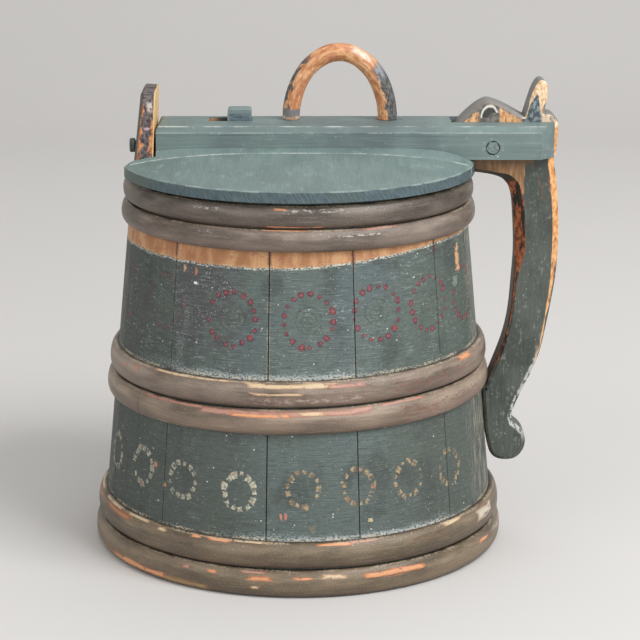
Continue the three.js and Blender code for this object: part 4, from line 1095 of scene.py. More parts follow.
def handle_face(p, streak, smut, fine):
    cloud = p.noise(22, detail=4)
    paint = p.mix(p.step(cloud, 0.35, 0.68), colour(68, 74, 69), colour(88, 95, 88))
    rust = p.step(p.noise(4, (1, 1, 0.4), detail=4), 0.62, 0.68)
    paint = p.layers(paint, [
        (p.step(streak, 0.5, 0.75), 0.45, (56, 60, 58)),
        (p.step(fine, 0.58, 0.72), 0.3, (128, 138, 134)),
        (p.both(p.step(p.cells(3.6), 0.16, 0.08), p.step(p.noise(16), 0.46, 0.6)), 0.7, (186, 190, 182)),
        (p.both(p.step(fine, 0.5, 0.62), p.step(smut, 0.5, 0.6)), 0.4, (150, 156, 148)),
        (p.both(rust, p.step(p.z, 200, 240)), 0.6, (146, 92, 62)),
    ])

    narrow = p.step(p.stored("side"), *NARROW_SIDE)
    grey = p.mix(cloud, colour(112, 112, 108), colour(142, 140, 136))
    paint = p.mix(p.both(narrow, p.step(p.z, *HEAD_FROM)), paint, grey)
    # Painted shade: the narrow side that faces the wall, below the bar, is brown wood darkened.
    shaded_inner_side = p.both(narrow, p.step(p.stored("facing"), -0.35, -0.6), p.step(p.z, 262, 258))
    brown = p.mix(p.step(streak, 0.4, 0.66), colour(50, 40, 34), colour(112, 76, 50))
    return p.mix(shaded_inner_side, paint, brown)


def bare_arm(p, paint, streak, smut):
    tan_wood = p.mix(p.step(streak, 0.4, 0.7), colour(150, 112, 74), colour(196, 154, 106))
    # Painted shade: the arm darkens towards the left and just under the bar.
    shaded = p.either(p.step(p.x, 140, 122), p.step(p.z, 256, 264))
    tan_wood = p.mix(p.both(shaded, 0.75), tan_wood, colour(94, 67, 47))
    ragged = p.plus(p.times(smut, 3), p.times(p.step(p.z, 260, 268), 12))
    arm = p.both(p.step(p.minus(p.x, ragged), *ARM_LEFT_OF), p.step(p.z, *ARM_FROM))
    arm = p.both(arm, p.step(p.calc("ABSOLUTE", p.y), *BROAD_FACE), p.step(p.z, *HEAD_FROM[::-1]))
    return p.mix(arm, paint, tan_wood)


print("the handle's head begins at", HEAD_FROM[0], "mm")

# %% [markdown]
# The head is the busiest place. Its broad face is grey with two bare patches at the lower corners,
# and round the horn's foot runs a small pale arch over a dark hollow. The horn itself is cream with
# a dark wedge of old paint. Arches and wedges are simple in numbers: an arch is a band of an
# ellipse's reach, and a wedge is the space between two slanted lines.

# %% Head and horn of the side handle
# A bare corner: the height of its slanted upper edge, where that is, its slope, from x, to x.
BARE_CORNERS = [(284.5, 104, 0.85, 104, 120.6), (300.5, 134, -0.5, 135, 150.2)]
ARCH_X, ARCH_Z, ARCH_HALF_WIDTH, ARCH_HEIGHT = 128.2, 293.4, 5.6, 7.9
# The wedge on the horn: where the line is, its slope, the height where that is measured.
WEDGE_LEFT, WEDGE_RIGHT, WEDGE_TOP = ((148.8, 149.6), 0.72, 293), ((163.8, 163), -0.16, 297), (311, 308)
STUB_FROM, STUB_BELOW = (162.6, 163.6), (299, 298)


def bare_corners(p, paint, front, smut, fine):
    face = p.mix(p.step(fine, 0.36, 0.62), colour(92, 90, 88), colour(140, 132, 126))
    paint = p.mix(front, paint, face)
    pale = p.mix(p.step(fine, 0.4, 0.62), colour(214, 150, 98), colour(240, 198, 146))
    ragged = p.plus(p.z, p.swing(smut, 9))
    for height, x, slope, start, end in BARE_CORNERS:
        top = p.plus(height, p.times(p.minus(p.x, x), slope))
        corner = p.both(p.step(p.minus(top, ragged), 0, 1), p.band(p.x, start, end, 0.7))
        paint = p.mix(p.both(corner, front, p.step(fine, 0.32, 0.46)), paint, pale)
    return paint


def painted_arch(p, paint, front, smut, fine):
    across = p.calc("DIVIDE", p.minus(p.x, ARCH_X), ARCH_HALF_WIDTH)
    up = p.calc("DIVIDE", p.minus(p.z, ARCH_Z), ARCH_HEIGHT)
    ring = p.plus(p.length(across, up), p.swing(smut, 0.5))
    foot = p.step(p.minus(p.z, p.both(p.step(p.x, 126, 130), 3.4)), ARCH_Z - 0.8, ARCH_Z)
    inside = p.both(p.step(ring, 0.84, 0.76), foot, front)
    paint = p.mix(inside, paint, colour(64, 66, 64))
    arch = p.both(p.band(ring, 0.84, 1.06, 0.05), foot, front, p.step(fine, 0.3, 0.42))
    return p.mix(arch, paint, colour(224, 222, 210))


def horn_face(p, paint, front, smut, fine, cream):
    horn = p.both(p.step(p.x, *HORN_FROM), front)
    wobble = p.times(smut, 2)
    dark = p.step(p.z, *WEDGE_TOP)
    for line, slope, height in (WEDGE_LEFT, WEDGE_RIGHT):
        slanted = p.minus(p.x, p.times(p.minus(p.z, height), slope))
        dark = p.both(p.step(p.plus(slanted, wobble), *line), dark)
    blue = p.mix(p.step(fine, 0.42, 0.6), colour(70, 84, 92), colour(138, 148, 150))
    paint = p.mix(horn, paint, p.mix(dark, cream, blue))
    stub = p.both(p.step(p.x, *STUB_FROM), p.step(p.z, *STUB_BELOW), horn)
    mottle = p.mix(p.step(smut, 0.42, 0.56), colour(158, 150, 142), colour(232, 206, 176))
    return p.mix(stub, paint, mottle)


print(len(BARE_CORNERS), "bare corners on the head")

# %% [markdown]
# Last come the cut edges. Where a knife took the edge off, the wood is painted bright on the outside
# of the grip, which faces the light, and dark on the inside, which faces away from it and is darkest
# near the top: painted light and shade, with grease on the inside too, where fingers go. The stored
# number is highest in the middle of a cut, so a step on it, moved to and fro by noise, gives a ragged
# border. Near the foot nobody rubs the handle, and its edges have kept their paint.

# %% The side handle's finish
def cut_wood(p, smut, fine, cream):
    # Painted light and shade: cut wood facing out to the right is bright, cut wood facing in is dark,
    # greasy in places and darkest near the top.
    bright = p.mix(p.step(fine, 0.35, 0.65), colour(200, 134, 80), colour(240, 184, 124))
    bright = p.mix(p.step(smut, 0.58, 0.64), bright, colour(120, 74, 50))
    deep = p.mix(p.step(fine, 0.35, 0.6), colour(96, 56, 40), colour(190, 112, 70))
    deep = p.mix(p.step(smut, 0.5, 0.58), deep, colour(52, 44, 40))
    deep = p.mix(p.step(p.z, 246, 252), deep, colour(58, 50, 44))
    raw = p.mix(p.step(p.stored("facing"), -0.2, 0.2), deep, bright)
    dull = p.mix(fine, colour(108, 104, 100), colour(146, 138, 132))
    return p.mix(p.step(p.z, *HEAD_FROM), raw, p.mix(p.step(p.x, *HORN_FROM), dull, cream))


def cut_edges(p, paint, raw, smut):
    low_paint = p.both(p.step(p.z, 200, 188), p.step(p.stored("side"), 0.25, 0.45))
    fade = p.both(p.either(p.step(p.z, 192, 150), low_paint), 0.35)
    fade = p.plus(fade, p.both(p.step(p.z, 128, 108), 0.5))
    thin_rim = p.both(p.step(p.x, *HORN_FROM), p.band(p.z, 290, 303, 2))
    fade = p.plus(fade, p.both(thin_rim, 0.4))
    edge = p.minus(p.plus(p.stored("cut"), p.swing(smut, 0.9)), fade)
    return p.mix(p.step(edge, 0.46, 0.56), paint, raw)


def handle_finish():
    p = Finish("handle_paint")
    streak = p.noise(1.9, (1, 1, 0.12), detail=4)
    smut = p.noise(6, (1, 1, 0.35), detail=5, rough=0.65)
    fine = p.noise(2.2, (1, 1, 0.6), detail=3)
    front = p.both(p.step(p.z, *HEAD_FROM), p.step(p.calc("ABSOLUTE", p.y), *BROAD_FACE))
    cream = p.mix(p.step(fine, 0.42, 0.6), colour(222, 172, 124), colour(246, 226, 192))
    paint = handle_face(p, streak, smut, fine)
    paint = bare_arm(p, paint, streak, smut)
    paint = bare_corners(p, paint, front, smut, fine)
    paint = painted_arch(p, paint, front, smut, fine)
    paint = horn_face(p, paint, front, smut, fine, cream)
    paint = cut_edges(p, paint, cut_wood(p, smut, fine, cream), smut)
    crust = p.both(p.band(p.z, 70, 128, 8), p.step(p.stored("facing"), 0.1, 0.4))
    crust = p.both(crust, p.step(p.stored("cut"), 0.1, 0.5), p.step(fine, 0.4, 0.5))
    paint = p.mix(p.both(crust, 0.85), paint, colour(196, 198, 192))
    return p.finish(paint, 0.5, p.plus(streak, p.times(smut, 0.6)), 0.5)


handle_paint = handle_finish()
print("handle finish uses", len(handle_paint.node_tree.nodes), "nodes")

# %% [markdown]
# The pieces that nobody sees, such as the base board, the wedges and the pegs, are bare softwood:
# one noise stretched along the grain gives both the colour and the relief.

# %% Bare wood
def wood_finish():
    p = Finish("bare_wood")
    ring = p.noise(3, (1, 1, 0.1), detail=4)
    paint = p.mix(p.step(ring, 0.3, 0.7), colour(150, 104, 62), colour(206, 158, 108))
    return p.finish(paint, 0.6, ring, 0.3)


bare_wood = wood_finish()
print("materials so far:", len(bpy.data.materials))

# %% [markdown]
# Every piece is finished in the same way. Its shading stays smooth up to a given angle, and where it
# has one, a small bevel catches the light on every real edge. Then it is tied to the CAD model: it
# rides on a body that moves, it replaces the plain solid, and it gets its material.

# %% Finish a piece and tie it to the CAD model
def piece(name, mesh, body, nodes, material, sharp=30, bevel=0.5, segments=2):
    for face in mesh.polygons:
        face.use_smooth = True
    mesh.set_sharp_from_angle(angle=math.radians(sharp))
    mesh.materials.clear()
    mesh.materials.append(material)
    made = bpy.data.objects.new(name, mesh)
    bpy.context.scene.collection.objects.link(made)
    if bevel:
        edge = made.modifiers.new("edge", "BEVEL")
        edge.width = bevel * MM
        edge.segments = segments
        edge.limit_method = "ANGLE"
        edge.angle_limit = math.radians(sharp)
        edge.harden_normals = True
    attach(made, body)
    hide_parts(*nodes)
    return made


# %% [markdown]
# Most pieces here are lofts: a closed outline carried through space, one loop of corners for each
# station on the way. The first function makes quads between the loops and closes both ends. Pieces
# with flat faces need no loft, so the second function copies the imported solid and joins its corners.

# %% Meshes from loops and from the CAD model
def loft_mesh(name, loops, **numbers):
    """Joins the loops into a closed mesh. Extra lists are stored as one number per corner."""
    count = len(loops[0])
    vertices = [point for loop in loops for point in loop]
    faces = []
    for i in range(len(loops) - 1):
        for j in range(count):
            k = (j + 1) % count
            a, b = i * count, (i + 1) * count
            faces.append((a + j, b + j, b + k, a + k))
    last = len(vertices) - count
    for a, b, c in tessellate_polygon([loops[0]]):
        faces += [(a, b, c), (last + c, last + b, last + a)]
    mesh = bpy.data.meshes.new(name)
    mesh.from_pydata(vertices, [], faces)
    for key, values in numbers.items():
        mesh.attributes.new(key, "FLOAT", "POINT").data.foreach_set("value", values)
    shape = bmesh.new()
    shape.from_mesh(mesh)
    bmesh.ops.remove_doubles(shape, verts=shape.verts, dist=MM / 1000)
    bmesh.ops.dissolve_degenerate(shape, edges=shape.edges, dist=MM / 1000)
    bmesh.ops.recalc_face_normals(shape, faces=shape.faces)
    shape.to_mesh(mesh)
    shape.free()
    return mesh


def cad_mesh(node, weld=0.01):
    """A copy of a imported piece's mesh, its corners joined and its flat faces whole again."""
    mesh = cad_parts[node].data.copy()
    shape = bmesh.new()
    shape.from_mesh(mesh)
    bmesh.ops.remove_doubles(shape, verts=shape.verts, dist=weld * MM)
    bmesh.ops.dissolve_limit(
        shape, angle_limit=math.radians(0.3), verts=shape.verts, edges=shape.edges
    )
    shape.to_mesh(mesh)
    shape.free()
    return mesh


def ease(value, start, end):
    """0 at start, 1 at end, smooth in between."""
    share = min(1, max(0, (value - start) / (end - start)))
    return share * share * (3 - 2 * share)


def waves(turn, seed):
    """A smooth wobble between about -1 and 1 that closes on itself round the vessel."""
    return sum(math.sin(k * turn + seed * (k + 1.7)) / k for k in (2, 3, 5, 7, 11)) / 1.6


print("a wave at 0 degrees:", round(waves(0, 1), 3))

# %% [markdown]
# A stave is a slice of the wall between two joints. Its outline, seen from its narrow side, has
# five heights outside, so that the shading stays even, and holds the groove for the base board
# inside. The slice is lofted round the axis, and trimmed by half a gap at both joints.

# %% Wall of staves
STAVE_THICKNESS = 12
STAVE_GAP = 0.3
GROOVE_DEPTH = 3.6
GROOVE_LOW, GROOVE_HIGH = 17.4, 22.6
STAVE_NAMES = (
    ["ear_stave"] + ["front_stave_%d" % i for i in range(1, 6)]
    + ["handle_stave"] + ["rear_stave_%d" % i for i in range(1, 6)]
)


def stave_outline():
    """Radius and height of each corner, up on the outside and down on the inside."""
    def inner(z):
        return stave_radius(z) - STAVE_THICKNESS

    outline = [(stave_radius(z), z) for z in (0, 64, 128, 192, RIM_HEIGHT)]
    outline += [(inner(RIM_HEIGHT), RIM_HEIGHT), (inner(GROOVE_HIGH), GROOVE_HIGH)]
    groove = inner(GROOVE_LOW) + GROOVE_DEPTH
    outline += [(groove, GROOVE_HIGH), (groove, GROOVE_LOW)]
    return outline + [(inner(GROOVE_LOW), GROOVE_LOW), (inner(0), 0)]


def stave_mesh(name, start, end, steps=14):
    loops = []
    for i in range(steps + 1):
        share = i / steps
        loop = []
        for radius, z in stave_outline():
            trim = math.degrees(STAVE_GAP / 2 / radius)
            turn = (start + trim) * (1 - share) + (end - trim) * share
            loop.append(around(radius, turn, z))
        loops.append(loop)
    return loft_mesh(name, loops)


print(len(stave_outline()), "corners in a stave's outline")

# %% [markdown]
# Two staves go on above the rim: one as the ear for the bolt, one as the tenon that carries the
# side handle. Those parts keep the CAD shape, cut off at the rim. The real ear has warped, so its
# corners are moved: it leans inwards, and its crown turns round in a tighter corner. A superellipse
# does that, because it pushes a round corner outwards and leaves its ends where they are.

# %% Ear and tenon
def above(mesh, height):
    """Keeps what stands above a height, closed where it was cut."""
    shape = bmesh.new()
    shape.from_mesh(mesh)
    everything = shape.verts[:] + shape.edges[:] + shape.faces[:]
    cut = bmesh.ops.bisect_plane(
        shape, geom=everything, plane_co=at(0, 0, height), plane_no=(0, 0, 1), clear_inner=True
    )
    edges = [e for e in cut["geom_cut"] if isinstance(e, bmesh.types.BMEdge)]
    bmesh.ops.holes_fill(shape, edges=edges)
    shape.to_mesh(mesh)
    shape.free()
    return mesh


EAR_TOP = 314
EAR_INNER = -96.3
CROWN_X, CROWN_Z, CROWN_POWER = -99.7, 306.2, 5
# How far each face moves inwards at the rim and at the top, and how far the top sinks.
INNER_LEAN, OUTER_LEAN = (-0.9, 1.4), (0.4, 2.3)
EAR_SINK, SINK_FROM, SINK_TO = 2.3, 284, 308


def tight_corner(x, z):
    """Pushes a place on the round crown out towards a squarer corner."""
    side, up = CROWN_X - x, z - CROWN_Z
    turn = math.atan2(up, side)
    reach = math.cos(turn) ** CROWN_POWER + math.sin(turn) ** CROWN_POWER
    square = reach ** (-1 / CROWN_POWER)
    return CROWN_X - side * square, CROWN_Z + up * square


def leaning_ear(mesh):
    """The ear leans inwards, a little more on its outer face, and its crown has a tight corner."""
    for vertex in mesh.vertices:
        x, z = (vertex.co.x - AXIS_X) / MM, vertex.co.z / MM
        if x < CROWN_X and z > CROWN_Z:
            x, z = tight_corner(x, z)
        height = (z - RIM_HEIGHT) / (EAR_TOP - RIM_HEIGHT)
        outer = min(1, (EAR_INNER - x) / STAVE_THICKNESS)
        inner_shift, outer_shift = [
            low_end + (high_end - low_end) * height for low_end, high_end in (INNER_LEAN, OUTER_LEAN)
        ]
        x += (1 - outer) * inner_shift + outer * outer_shift
        z -= EAR_SINK * ease(z, SINK_FROM, SINK_TO)
        vertex.co.x, vertex.co.z = AXIS_X + x * MM, z * MM
    return mesh


for name, start, end in zip(STAVE_NAMES, STAVE_JOINTS, STAVE_JOINTS[1:]):
    wall = stave_mesh(name, start, end)
    piece(name + "_wall", wall, "vessel", [name], stave_paint, bevel=0.25)
    if name in ("ear_stave", "handle_stave"):
        top = above(cad_mesh(name), RIM_HEIGHT)
        if name == "ear_stave":
            top = leaning_ear(top)
        piece(name + "_top", top, "vessel", [name], stave_paint, bevel=0.8)
print("wall of", len(STAVE_NAMES), "staves")

# %% [markdown]
# A hoop starts thin, grows to its full thickness, goes once round and ends thin again on top of
# its own start, where the real one is hooked or nailed. Half a circle gives its section, a little
# flattened. The branch is never quite even, so waves shrink it a little here and there. Every corner
# keeps its height on the branch as the number up, which the hoop's finish reads.

# %% Hoops
HOOP_THICKNESS = 5.3
HOOP_GAP = 0.3
HOOP_STEPS = 144
LAP_STEPS = 12
TIP_SHARE = 0.05
ROUND_STEPS = 12
ROUNDNESS = 0.7
# The end lifts by one more gap, from this share of a lap before it laps, and comes down again by
# this share of a gap.
LIFT_FROM, LIFT_DROP = -0.4, 0.93
# Least share of the thickness and of the width, and how much of each the waves add.
THICKNESS_WAVES, WIDTH_WAVES = (0.955, 0.045), (0.965, 0.03)
# The width's waves are other ones than the thickness's.
WIDTH_SEED = 2.3


def hoop_mesh(name, height, centre, lean, lap, seed):
    shoulders = []
    for k in range(ROUND_STEPS + 1):
        turn = math.pi * k / ROUND_STEPS
        shoulders.append((max(0.0, math.sin(turn)) ** ROUNDNESS, -math.cos(turn)))
    loops, ups = [], []
    both_sides = shoulders + shoulders[-2:0:-1]

    def tip(share):
        return TIP_SHARE + (1 - 2 * TIP_SHARE) * share

    for i in range(HOOP_STEPS + LAP_STEPS + 1):
        degrees = lap + 360 * i / HOOP_STEPS
        turn = math.radians(degrees)
        outer = min(1, tip(i / LAP_STEPS)) if i <= LAP_STEPS else 1
        over = (i - HOOP_STEPS) / LAP_STEPS
        inner = tip(over) if over >= 0 else 0
        gap = HOOP_GAP * (1 + ease(over, LIFT_FROM, 0) - LIFT_DROP * ease(over, 0, 1))
        swell = THICKNESS_WAVES[0] + THICKNESS_WAVES[1] * waves(turn, seed)
        width = WIDTH_WAVES[0] + WIDTH_WAVES[1] * waves(turn, seed + WIDTH_SEED)

        def point(share, shoulder):
            out, up = shoulder
            z = centre + lean * math.sin(turn) + height / 2 * up * width
            depth = HOOP_THICKNESS * out * share * swell
            return around(stave_radius(z) + gap + depth, degrees, z)

        loop = [point(outer, s) for s in shoulders]
        loop += [point(inner, s) for s in shoulders[-2:0:-1]]
        loops.append(loop)
        ups += [up for out, up in both_sides]
    return loft_mesh(name, loops, up=ups)


# Name, height on the wall, middle, how much it leans to the right, where its lap is in degrees.
HOOPS = [
    ("top_hoop_upper", 15, 246.9, 0, 77),
    ("top_hoop_lower", 15, 231.5, 0, 66),
    ("middle_hoop_upper", 17.4, 133.5, 2.4, 71),
    ("middle_hoop_lower", 17.4, 115.7, 2.4, -84),
    ("bottom_hoop_upper", 18.2, 28.3, 0, 78),
    ("bottom_hoop_lower", 18.2, 9.7, 0, -118),
]
for seed, (name, height, centre, lean, lap) in enumerate(HOOPS):
    mesh = hoop_mesh(name, height, centre, lean, lap, seed)
    piece(name + "_branch", mesh, "vessel", [name], hoop_wood[name], sharp=50, bevel=0)
print(len(HOOPS), "hoops")

# %% [markdown]
# The lid board, the bar and the small pieces have flat or evenly round faces, so a copy of the
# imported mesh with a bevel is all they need. The bevel is wider on pieces that fingers have rubbed.
# The bolt's round head stands a little nearer to the ear than in the CAD, so its corners are moved.

# %% Lid, bar, bolt and pin
# Node, body, slot, finish, the angle from which an edge is sharp, and the bevel's width.
FLAT_PIECES = [
    ("lid_board", "lid", "lid_paint", board_paint, 12, 0.9),
    ("cross_bar", "lid", "lid_paint", bar_paint, 20, 0.9),
    ("thumb_block", "bolt", "lid_paint", block_paint, 25, 1.2),
    ("bolt", "bolt", "handle_paint", handle_paint, 40, 1.3),
    ("hinge_pin", "vessel", "lid_paint", pin_paint, 40, 0.6),
    ("base_board", "vessel", "bare_wood", bare_wood, 25, 0.6),
    ("bow_wedge_1", "lid", "bare_wood", bare_wood, 30, 0),
    ("bow_wedge_2", "lid", "bare_wood", bare_wood, 30, 0),
    ("handle_tenon_peg", "vessel", "bare_wood", bare_wood, 40, 0.4),
    ("handle_foot_peg", "vessel", "bare_wood", bare_wood, 40, 0.4),
]
BOLT_HEAD_AT, BOLT_HEAD_SHIFT = -111, 1.2
for name, body, slot, material, sharp, bevel in FLAT_PIECES:
    mesh = cad_mesh(name)
    if name == "bolt":
        for vertex in mesh.vertices:
            if vertex.co.x < AXIS_X + BOLT_HEAD_AT * MM:
                vertex.co.x += BOLT_HEAD_SHIFT * MM
    piece(name + "_soft", mesh, body, [name], material, sharp, bevel)
print(len(FLAT_PIECES), "flat pieces")

# %% [markdown]
# The bow handle is one branch, bent while it was green. Its two feet go down through the bar and
# the lid and are wedged there. We sweep a ring along half an ellipse. Its radius grows from the left
# leg to the right one, and a branch is never round, so waves push every ring in a little.

# %% Bow handle
BOW_FOOT = 256.6
BOW_STEPS = 56
BOW_SIDES = 20
BOW_FOOT_RADIUS, BOW_LEFT_RADIUS, BOW_RIGHT_RADIUS = 5.2, 6, 7
# How far below the seat the thin foot stops, and the share of the radius that the waves take.
FOOT_UNDER = 0.4
DENT = 0.05


def bow_mesh():
    """Rings of corners, up the left foot, along the arch and down the right foot."""
    loops = []

    def ring(x, z, tilt, radius, share, rough=1.0):
        loop = []
        for k in range(BOW_SIDES):
            turn = 2 * math.pi * k / BOW_SIDES
            dent = 1 - rough * (DENT + DENT * waves(turn + 5 * share, 1 + 2 * share))
            out, side = radius * dent * math.cos(turn), radius * dent * math.sin(turn)
            loop.append(at(x + out * math.cos(tilt), side, z + out * math.sin(tilt)))
        loops.append(loop)

    left, right = BOW_CENTRE - BOW_HALF_SPAN, BOW_CENTRE + BOW_HALF_SPAN
    ring(left, BOW_FOOT, math.pi, BOW_FOOT_RADIUS, 0, 0)
    ring(left, BOW_SEAT - FOOT_UNDER, math.pi, BOW_FOOT_RADIUS, 0, 0)
    for i in range(BOW_STEPS + 1):
        share = i / BOW_STEPS
        turn = math.pi * (1 - share)
        x = BOW_CENTRE + BOW_HALF_SPAN * math.cos(turn)
        z = BOW_SEAT + BOW_RISE * math.sin(turn)
        tilt = math.atan2(BOW_HALF_SPAN * math.sin(turn), BOW_RISE * math.cos(turn))
        ring(x, z, tilt, BOW_LEFT_RADIUS + (BOW_RIGHT_RADIUS - BOW_LEFT_RADIUS) * share, share)
    ring(right, BOW_SEAT - FOOT_UNDER, 0, BOW_FOOT_RADIUS, 1, 0)
    ring(right, BOW_FOOT, 0, BOW_FOOT_RADIUS, 1, 0)
    return loft_mesh("bow", loops)


piece("bow_branch", bow_mesh(), "lid", ["bow_handle"], bow_branch, sharp=60, bevel=0)
print("bow with", BOW_STEPS, "stations")

# %% [markdown]
# The side handle was sawn from a plank and its edges were cut off with a knife, widely on the grip
# and narrowly on the head. A bevel modifier has one width, so we cut the edges ourselves: take the
# plank's outline from the CAD piece, move it inwards by a width that depends on the place, and loft
# from one side to the other. First comes the outline: we walk from corner to corner along the
# edges that lie at one depth, and keep the longest walk.

# %% Outline of the side handle
HANDLE_HALF = 11.2
HANDLE_CHAMFER = 2.4


def outline_of(mesh, y):
    """The loop of a mesh's corners at one depth, as (x, z) in millimetres."""
    near = {v.index for v in mesh.vertices if abs(v.co.y / MM - y) < 0.05}
    after = {}
    for edge in mesh.edges:
        a, b = edge.vertices
        if a in near and b in near:
            after.setdefault(a, []).append(b)
            after.setdefault(b, []).append(a)
    chains, seen = [], set()
    for first in sorted(near):
        if first in seen or len(after.get(first, [])) != 2:
            continue
        chain, last, here = [first], None, first
        seen.add(first)
        while True:
            ahead = [v for v in after[here] if v != last and v not in seen]
            if not ahead:
                break
            last, here = here, ahead[0]
            seen.add(here)
            chain.append(here)
        chains.append(chain)
    longest = max(chains, key=len)
    return [((mesh.vertices[i].co.x - AXIS_X) / MM, mesh.vertices[i].co.z / MM) for i in longest]


handle_outline = outline_of(cad_mesh("side_handle"), -(HANDLE_HALF - HANDLE_CHAMFER))
print("handle outline:", len(handle_outline), "corners")

# %% [markdown]
# A polygon would show its corners along the smooth grip. So we put more points between them on a
# curve that leaves every gentle corner in its own direction and keeps the sharp ones sharp. Then
# each point gets the direction that leads out of the wood.

# %% Smooth the outline
def refined(outline, parts=3, corner=30):
    """More points between the given ones, on curves that keep corners sharper than `corner`."""
    points = [Vector(p) for p in outline]
    count = len(points)

    def heading(i, leaving):
        before = (points[i] - points[i - 1]).normalized()
        after = (points[(i + 1) % count] - points[i]).normalized()
        if before.angle(after) > math.radians(corner):
            return after if leaving else before
        return (before + after).normalized()

    smooth = []
    for i in range(count):
        a, b = points[i], points[(i + 1) % count]
        start = heading(i, True) * (b - a).length
        end = heading((i + 1) % count, False) * (b - a).length
        for k in range(parts):
            t = k / parts
            bend = start * (t**3 - 2 * t**2 + t) + end * (t**3 - t**2)
            smooth.append(a * (2 * t**3 - 3 * t**2 + 1) + b * (3 * t**2 - 2 * t**3) + bend)
    return smooth


def outward(loop):
    """For each point the direction that leads out of the wood."""
    count = len(loop)
    area = sum(a.x * b.y - b.x * a.y for a, b in zip(loop, loop[1:] + loop[:1]))
    side = 1 if area > 0 else -1
    along = [loop[(i + 1) % count] - loop[i - 1] for i in range(count)]
    return [Vector((step.y, -step.x)).normalized() * side for step in along]


handle_loop = refined(handle_outline)
print("smoothed to", len(handle_loop), "points")

# %% [markdown]
# The knife took wide cuts along the grip, where fingers close round it, and only broke the sharp
# edge elsewhere. Three numbers go to the shader with every corner: how much it is a cut, which way
# its edge faces, and whether it lies on the narrow side of the plank.

# %% Side handle
# How wide the cuts are: everywhere, less on the horn, and more inside and outside the grip.
PLAIN_CUT, HORN_CUT, GRIP_CUT, OUTER_CUT, OUTER_CUT_HIGHER_UP = 2.2, 1.5, 4.7, 1.2, 0.8
# A cut goes less deep into the plank's side than it is wide.
CUT_SLOPE = 0.75


def knife_cut(z, out):
    """How wide the edge was cut off at this height, where `out` is 1 on the outer side."""
    inner = GRIP_CUT * ease(z, 180, 205) * ease(z, 262, 243) * ease(-out, 0.2, 0.8)
    outer = OUTER_CUT * ease(z, 135, 155) + OUTER_CUT_HIGHER_UP * ease(z, 188, 202)
    outer *= ease(z, 284, 268) * ease(out, 0.2, 0.8)
    return PLAIN_CUT - (PLAIN_CUT - HORN_CUT) * ease(z, 296, 304) + inner + outer


# From the plank's side to the middle of its narrow side: share of the cut inwards, share of it
# deep, more millimetres inwards, more deep, cut mark, side mark.
HANDLE_RINGS = [
    (1, 0, 1.2, 0, 0, 0),
    (1, 0, 0, 0, 0.6, 0),
    (0.5, 0.5, 0, 0, 1, 0.4),
    (0, 1, 0, 0, 0.6, 1),
    (0, 1, 0, 1.2, 0, 1),
]


def handle_mesh():
    out = outward(handle_loop)
    cuts = [knife_cut(p.y, n.x) for p, n in zip(handle_loop, out)]
    left, right = min(p[0] for p in handle_outline), max(p[0] for p in handle_outline)
    loops, cut_marks, side_marks, facing = [], [], [], []

    def ring(side, inwards, deep, more_in, more_deep, cut_mark, side_mark):
        loop = []
        for p, n, cut in zip(handle_loop, out, cuts):
            place = p - n * (inwards * cut + more_in)
            x = min(max(place.x, left), right)
            loop.append(at(x, side * (HANDLE_HALF - CUT_SLOPE * deep * cut - more_deep), place.y))
            facing.append(n.x)
        loops.append(loop)
        cut_marks.extend([cut_mark] * len(loop))
        side_marks.extend([side_mark] * len(loop))

    for numbers in HANDLE_RINGS:
        ring(-1, *numbers)
    for numbers in reversed(HANDLE_RINGS):
        ring(1, *numbers)
    return loft_mesh("handle", loops, cut=cut_marks, side=side_marks, facing=facing)


piece("handle_plank", handle_mesh(), "vessel", ["side_handle"], handle_paint,
      sharp=25, bevel=0.4)
print("side handle with", 2 * len(HANDLE_RINGS), "rings of", len(handle_loop), "corners")

# %% [markdown]
# An object like this is photographed on a sheet of pale card that curves up behind it, so that no
# line shows between floor and wall. The sheet is a profile with a quarter of a circle, pulled out
# sideways. It is wide enough for a look from any side, and it is a stage, not part of the object.

# %% Floor and backdrop
def floor_finish():
    p = Finish("floor_card")
    tone = p.mix(p.noise(900, detail=2), colour(212, 210, 208), colour(218, 216, 214))
    return p.finish(tone, 0.9, p.noise(3), 0.02)


FLOOR_FRONT, FLOOR_BACK, SWEEP, WALL, HALF_WIDTH = -14.0, 1.6, 1.0, 3.5, 14.0
SWEEP_STEPS = 24


def sweep_mesh():
    profile = [(FLOOR_FRONT, 0.0), (FLOOR_BACK, 0.0)]
    for k in range(1, SWEEP_STEPS + 1):
        turn = math.pi / 2 * k / SWEEP_STEPS
        profile.append((FLOOR_BACK + SWEEP * math.sin(turn), SWEEP * (1 - math.cos(turn))))
    profile.append((FLOOR_BACK + SWEEP, WALL))
    vertices = [(side * HALF_WIDTH, y, z) for y, z in profile for side in (-1, 1)]
    faces = [(2 * i, 2 * i + 1, 2 * i + 3, 2 * i + 2) for i in range(len(profile) - 1)]
    mesh = bpy.data.meshes.new("floor")
    mesh.from_pydata(vertices, [], faces)
    for face in mesh.polygons:
        face.use_smooth = True
    mesh.materials.append(floor_finish())
    return mesh


floor = bpy.data.objects.new("floor", sweep_mesh())
bpy.context.scene.collection.objects.link(floor)
print("floor", 2 * HALF_WIDTH, "m wide")

# %% [markdown]
# The shadow in the picture falls softly to the left, so the key light is a large area light at the
# upper right. Three weak ones open the shadows: one behind, which also lights the lid, one in front
# and one on the left. The room itself gives the rest, from everywhere.

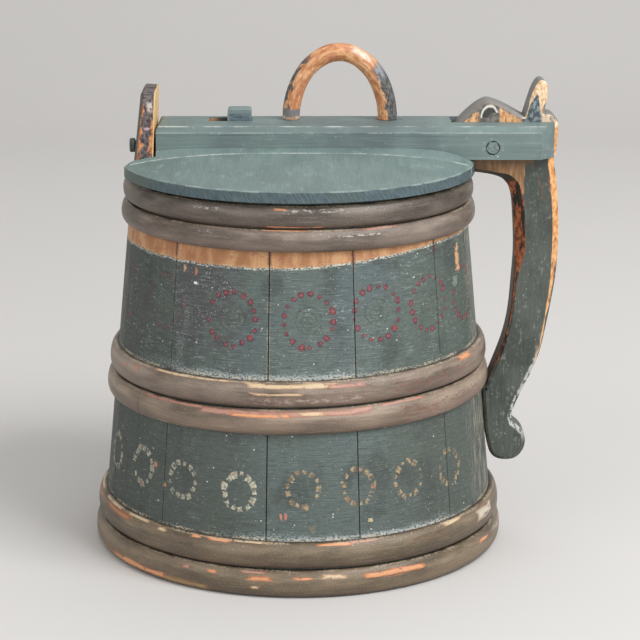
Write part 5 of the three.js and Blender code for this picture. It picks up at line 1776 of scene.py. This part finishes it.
# %% Lights
def soft_light(name, place, target, size, watts):
    data = bpy.data.lights.new(name, "AREA")
    data.size = size
    data.energy = watts
    lamp = bpy.data.objects.new(name, data)
    lamp.location = place
    lamp.rotation_euler = (Vector(target) - Vector(place)).to_track_quat("-Z", "Y").to_euler()
    bpy.context.scene.collection.objects.link(lamp)
    return lamp


# Name, place, the point it looks at and size, all in metres, and watts.
LIGHTS = [
    ("key", (1.6, -1.2, 2.2), (0, 0, 0.15), 1.4, 56),
    ("back", (0.3, 0.9, 2.2), (0, 0, 0.1), 1.5, 7),
    ("front", (0.9, -2.2, 1.5), (0, 0, 0.15), 1.8, 13),
    ("fill", (-1.8, -1.6, 1.4), (0, 0, 0.15), 1.8, 11),
]
for numbers in LIGHTS:
    soft_light(*numbers)
ROOM_TINT, ROOM_STRENGTH = (1.0, 0.99, 0.98, 1), 0.47
world = bpy.data.worlds.new("room")
world.use_nodes = True
room = world.node_tree.nodes["Background"]
room.inputs[0].default_value = ROOM_TINT
room.inputs[1].default_value = ROOM_STRENGTH
bpy.context.scene.world = world
bpy.context.scene.view_settings.view_transform = "Standard"
print(len(LIGHTS), "lights and a room of strength", ROOM_STRENGTH)

# %% [markdown]
# The camera stands a metre and a half away and half a metre up, tilted down, as its picture tells:
# the rim is an open ellipse and the staves' joints lean outwards. A long lens keeps the vessel
# from bulging. The picture has the vessel's axis left of the middle, so the lens is shifted.

# %% Camera
# Millimetres and degrees, then pixels of the picture.
CAMERA_AWAY = 1491
CAMERA_HEIGHT = 534
CAMERA_TILT = 14.43
PICTURE_WIDTH = 640
FOCAL_PIXELS = 2229
AXIS_PIXEL = 298.2
SENSOR = 36

lens = bpy.data.cameras.new("camera")
lens.sensor_width = SENSOR
lens.lens = FOCAL_PIXELS / PICTURE_WIDTH * SENSOR
lens.shift_x = (PICTURE_WIDTH / 2 - AXIS_PIXEL) / PICTURE_WIDTH
camera = bpy.data.objects.new("camera", lens)
camera.location = at(0, -CAMERA_AWAY, CAMERA_HEIGHT)
camera.rotation_euler = (math.radians(90 - CAMERA_TILT), 0, 0)
bpy.context.scene.collection.objects.link(camera)
bpy.context.scene.camera = camera
print("lens", round(lens.lens, 1), "mm")
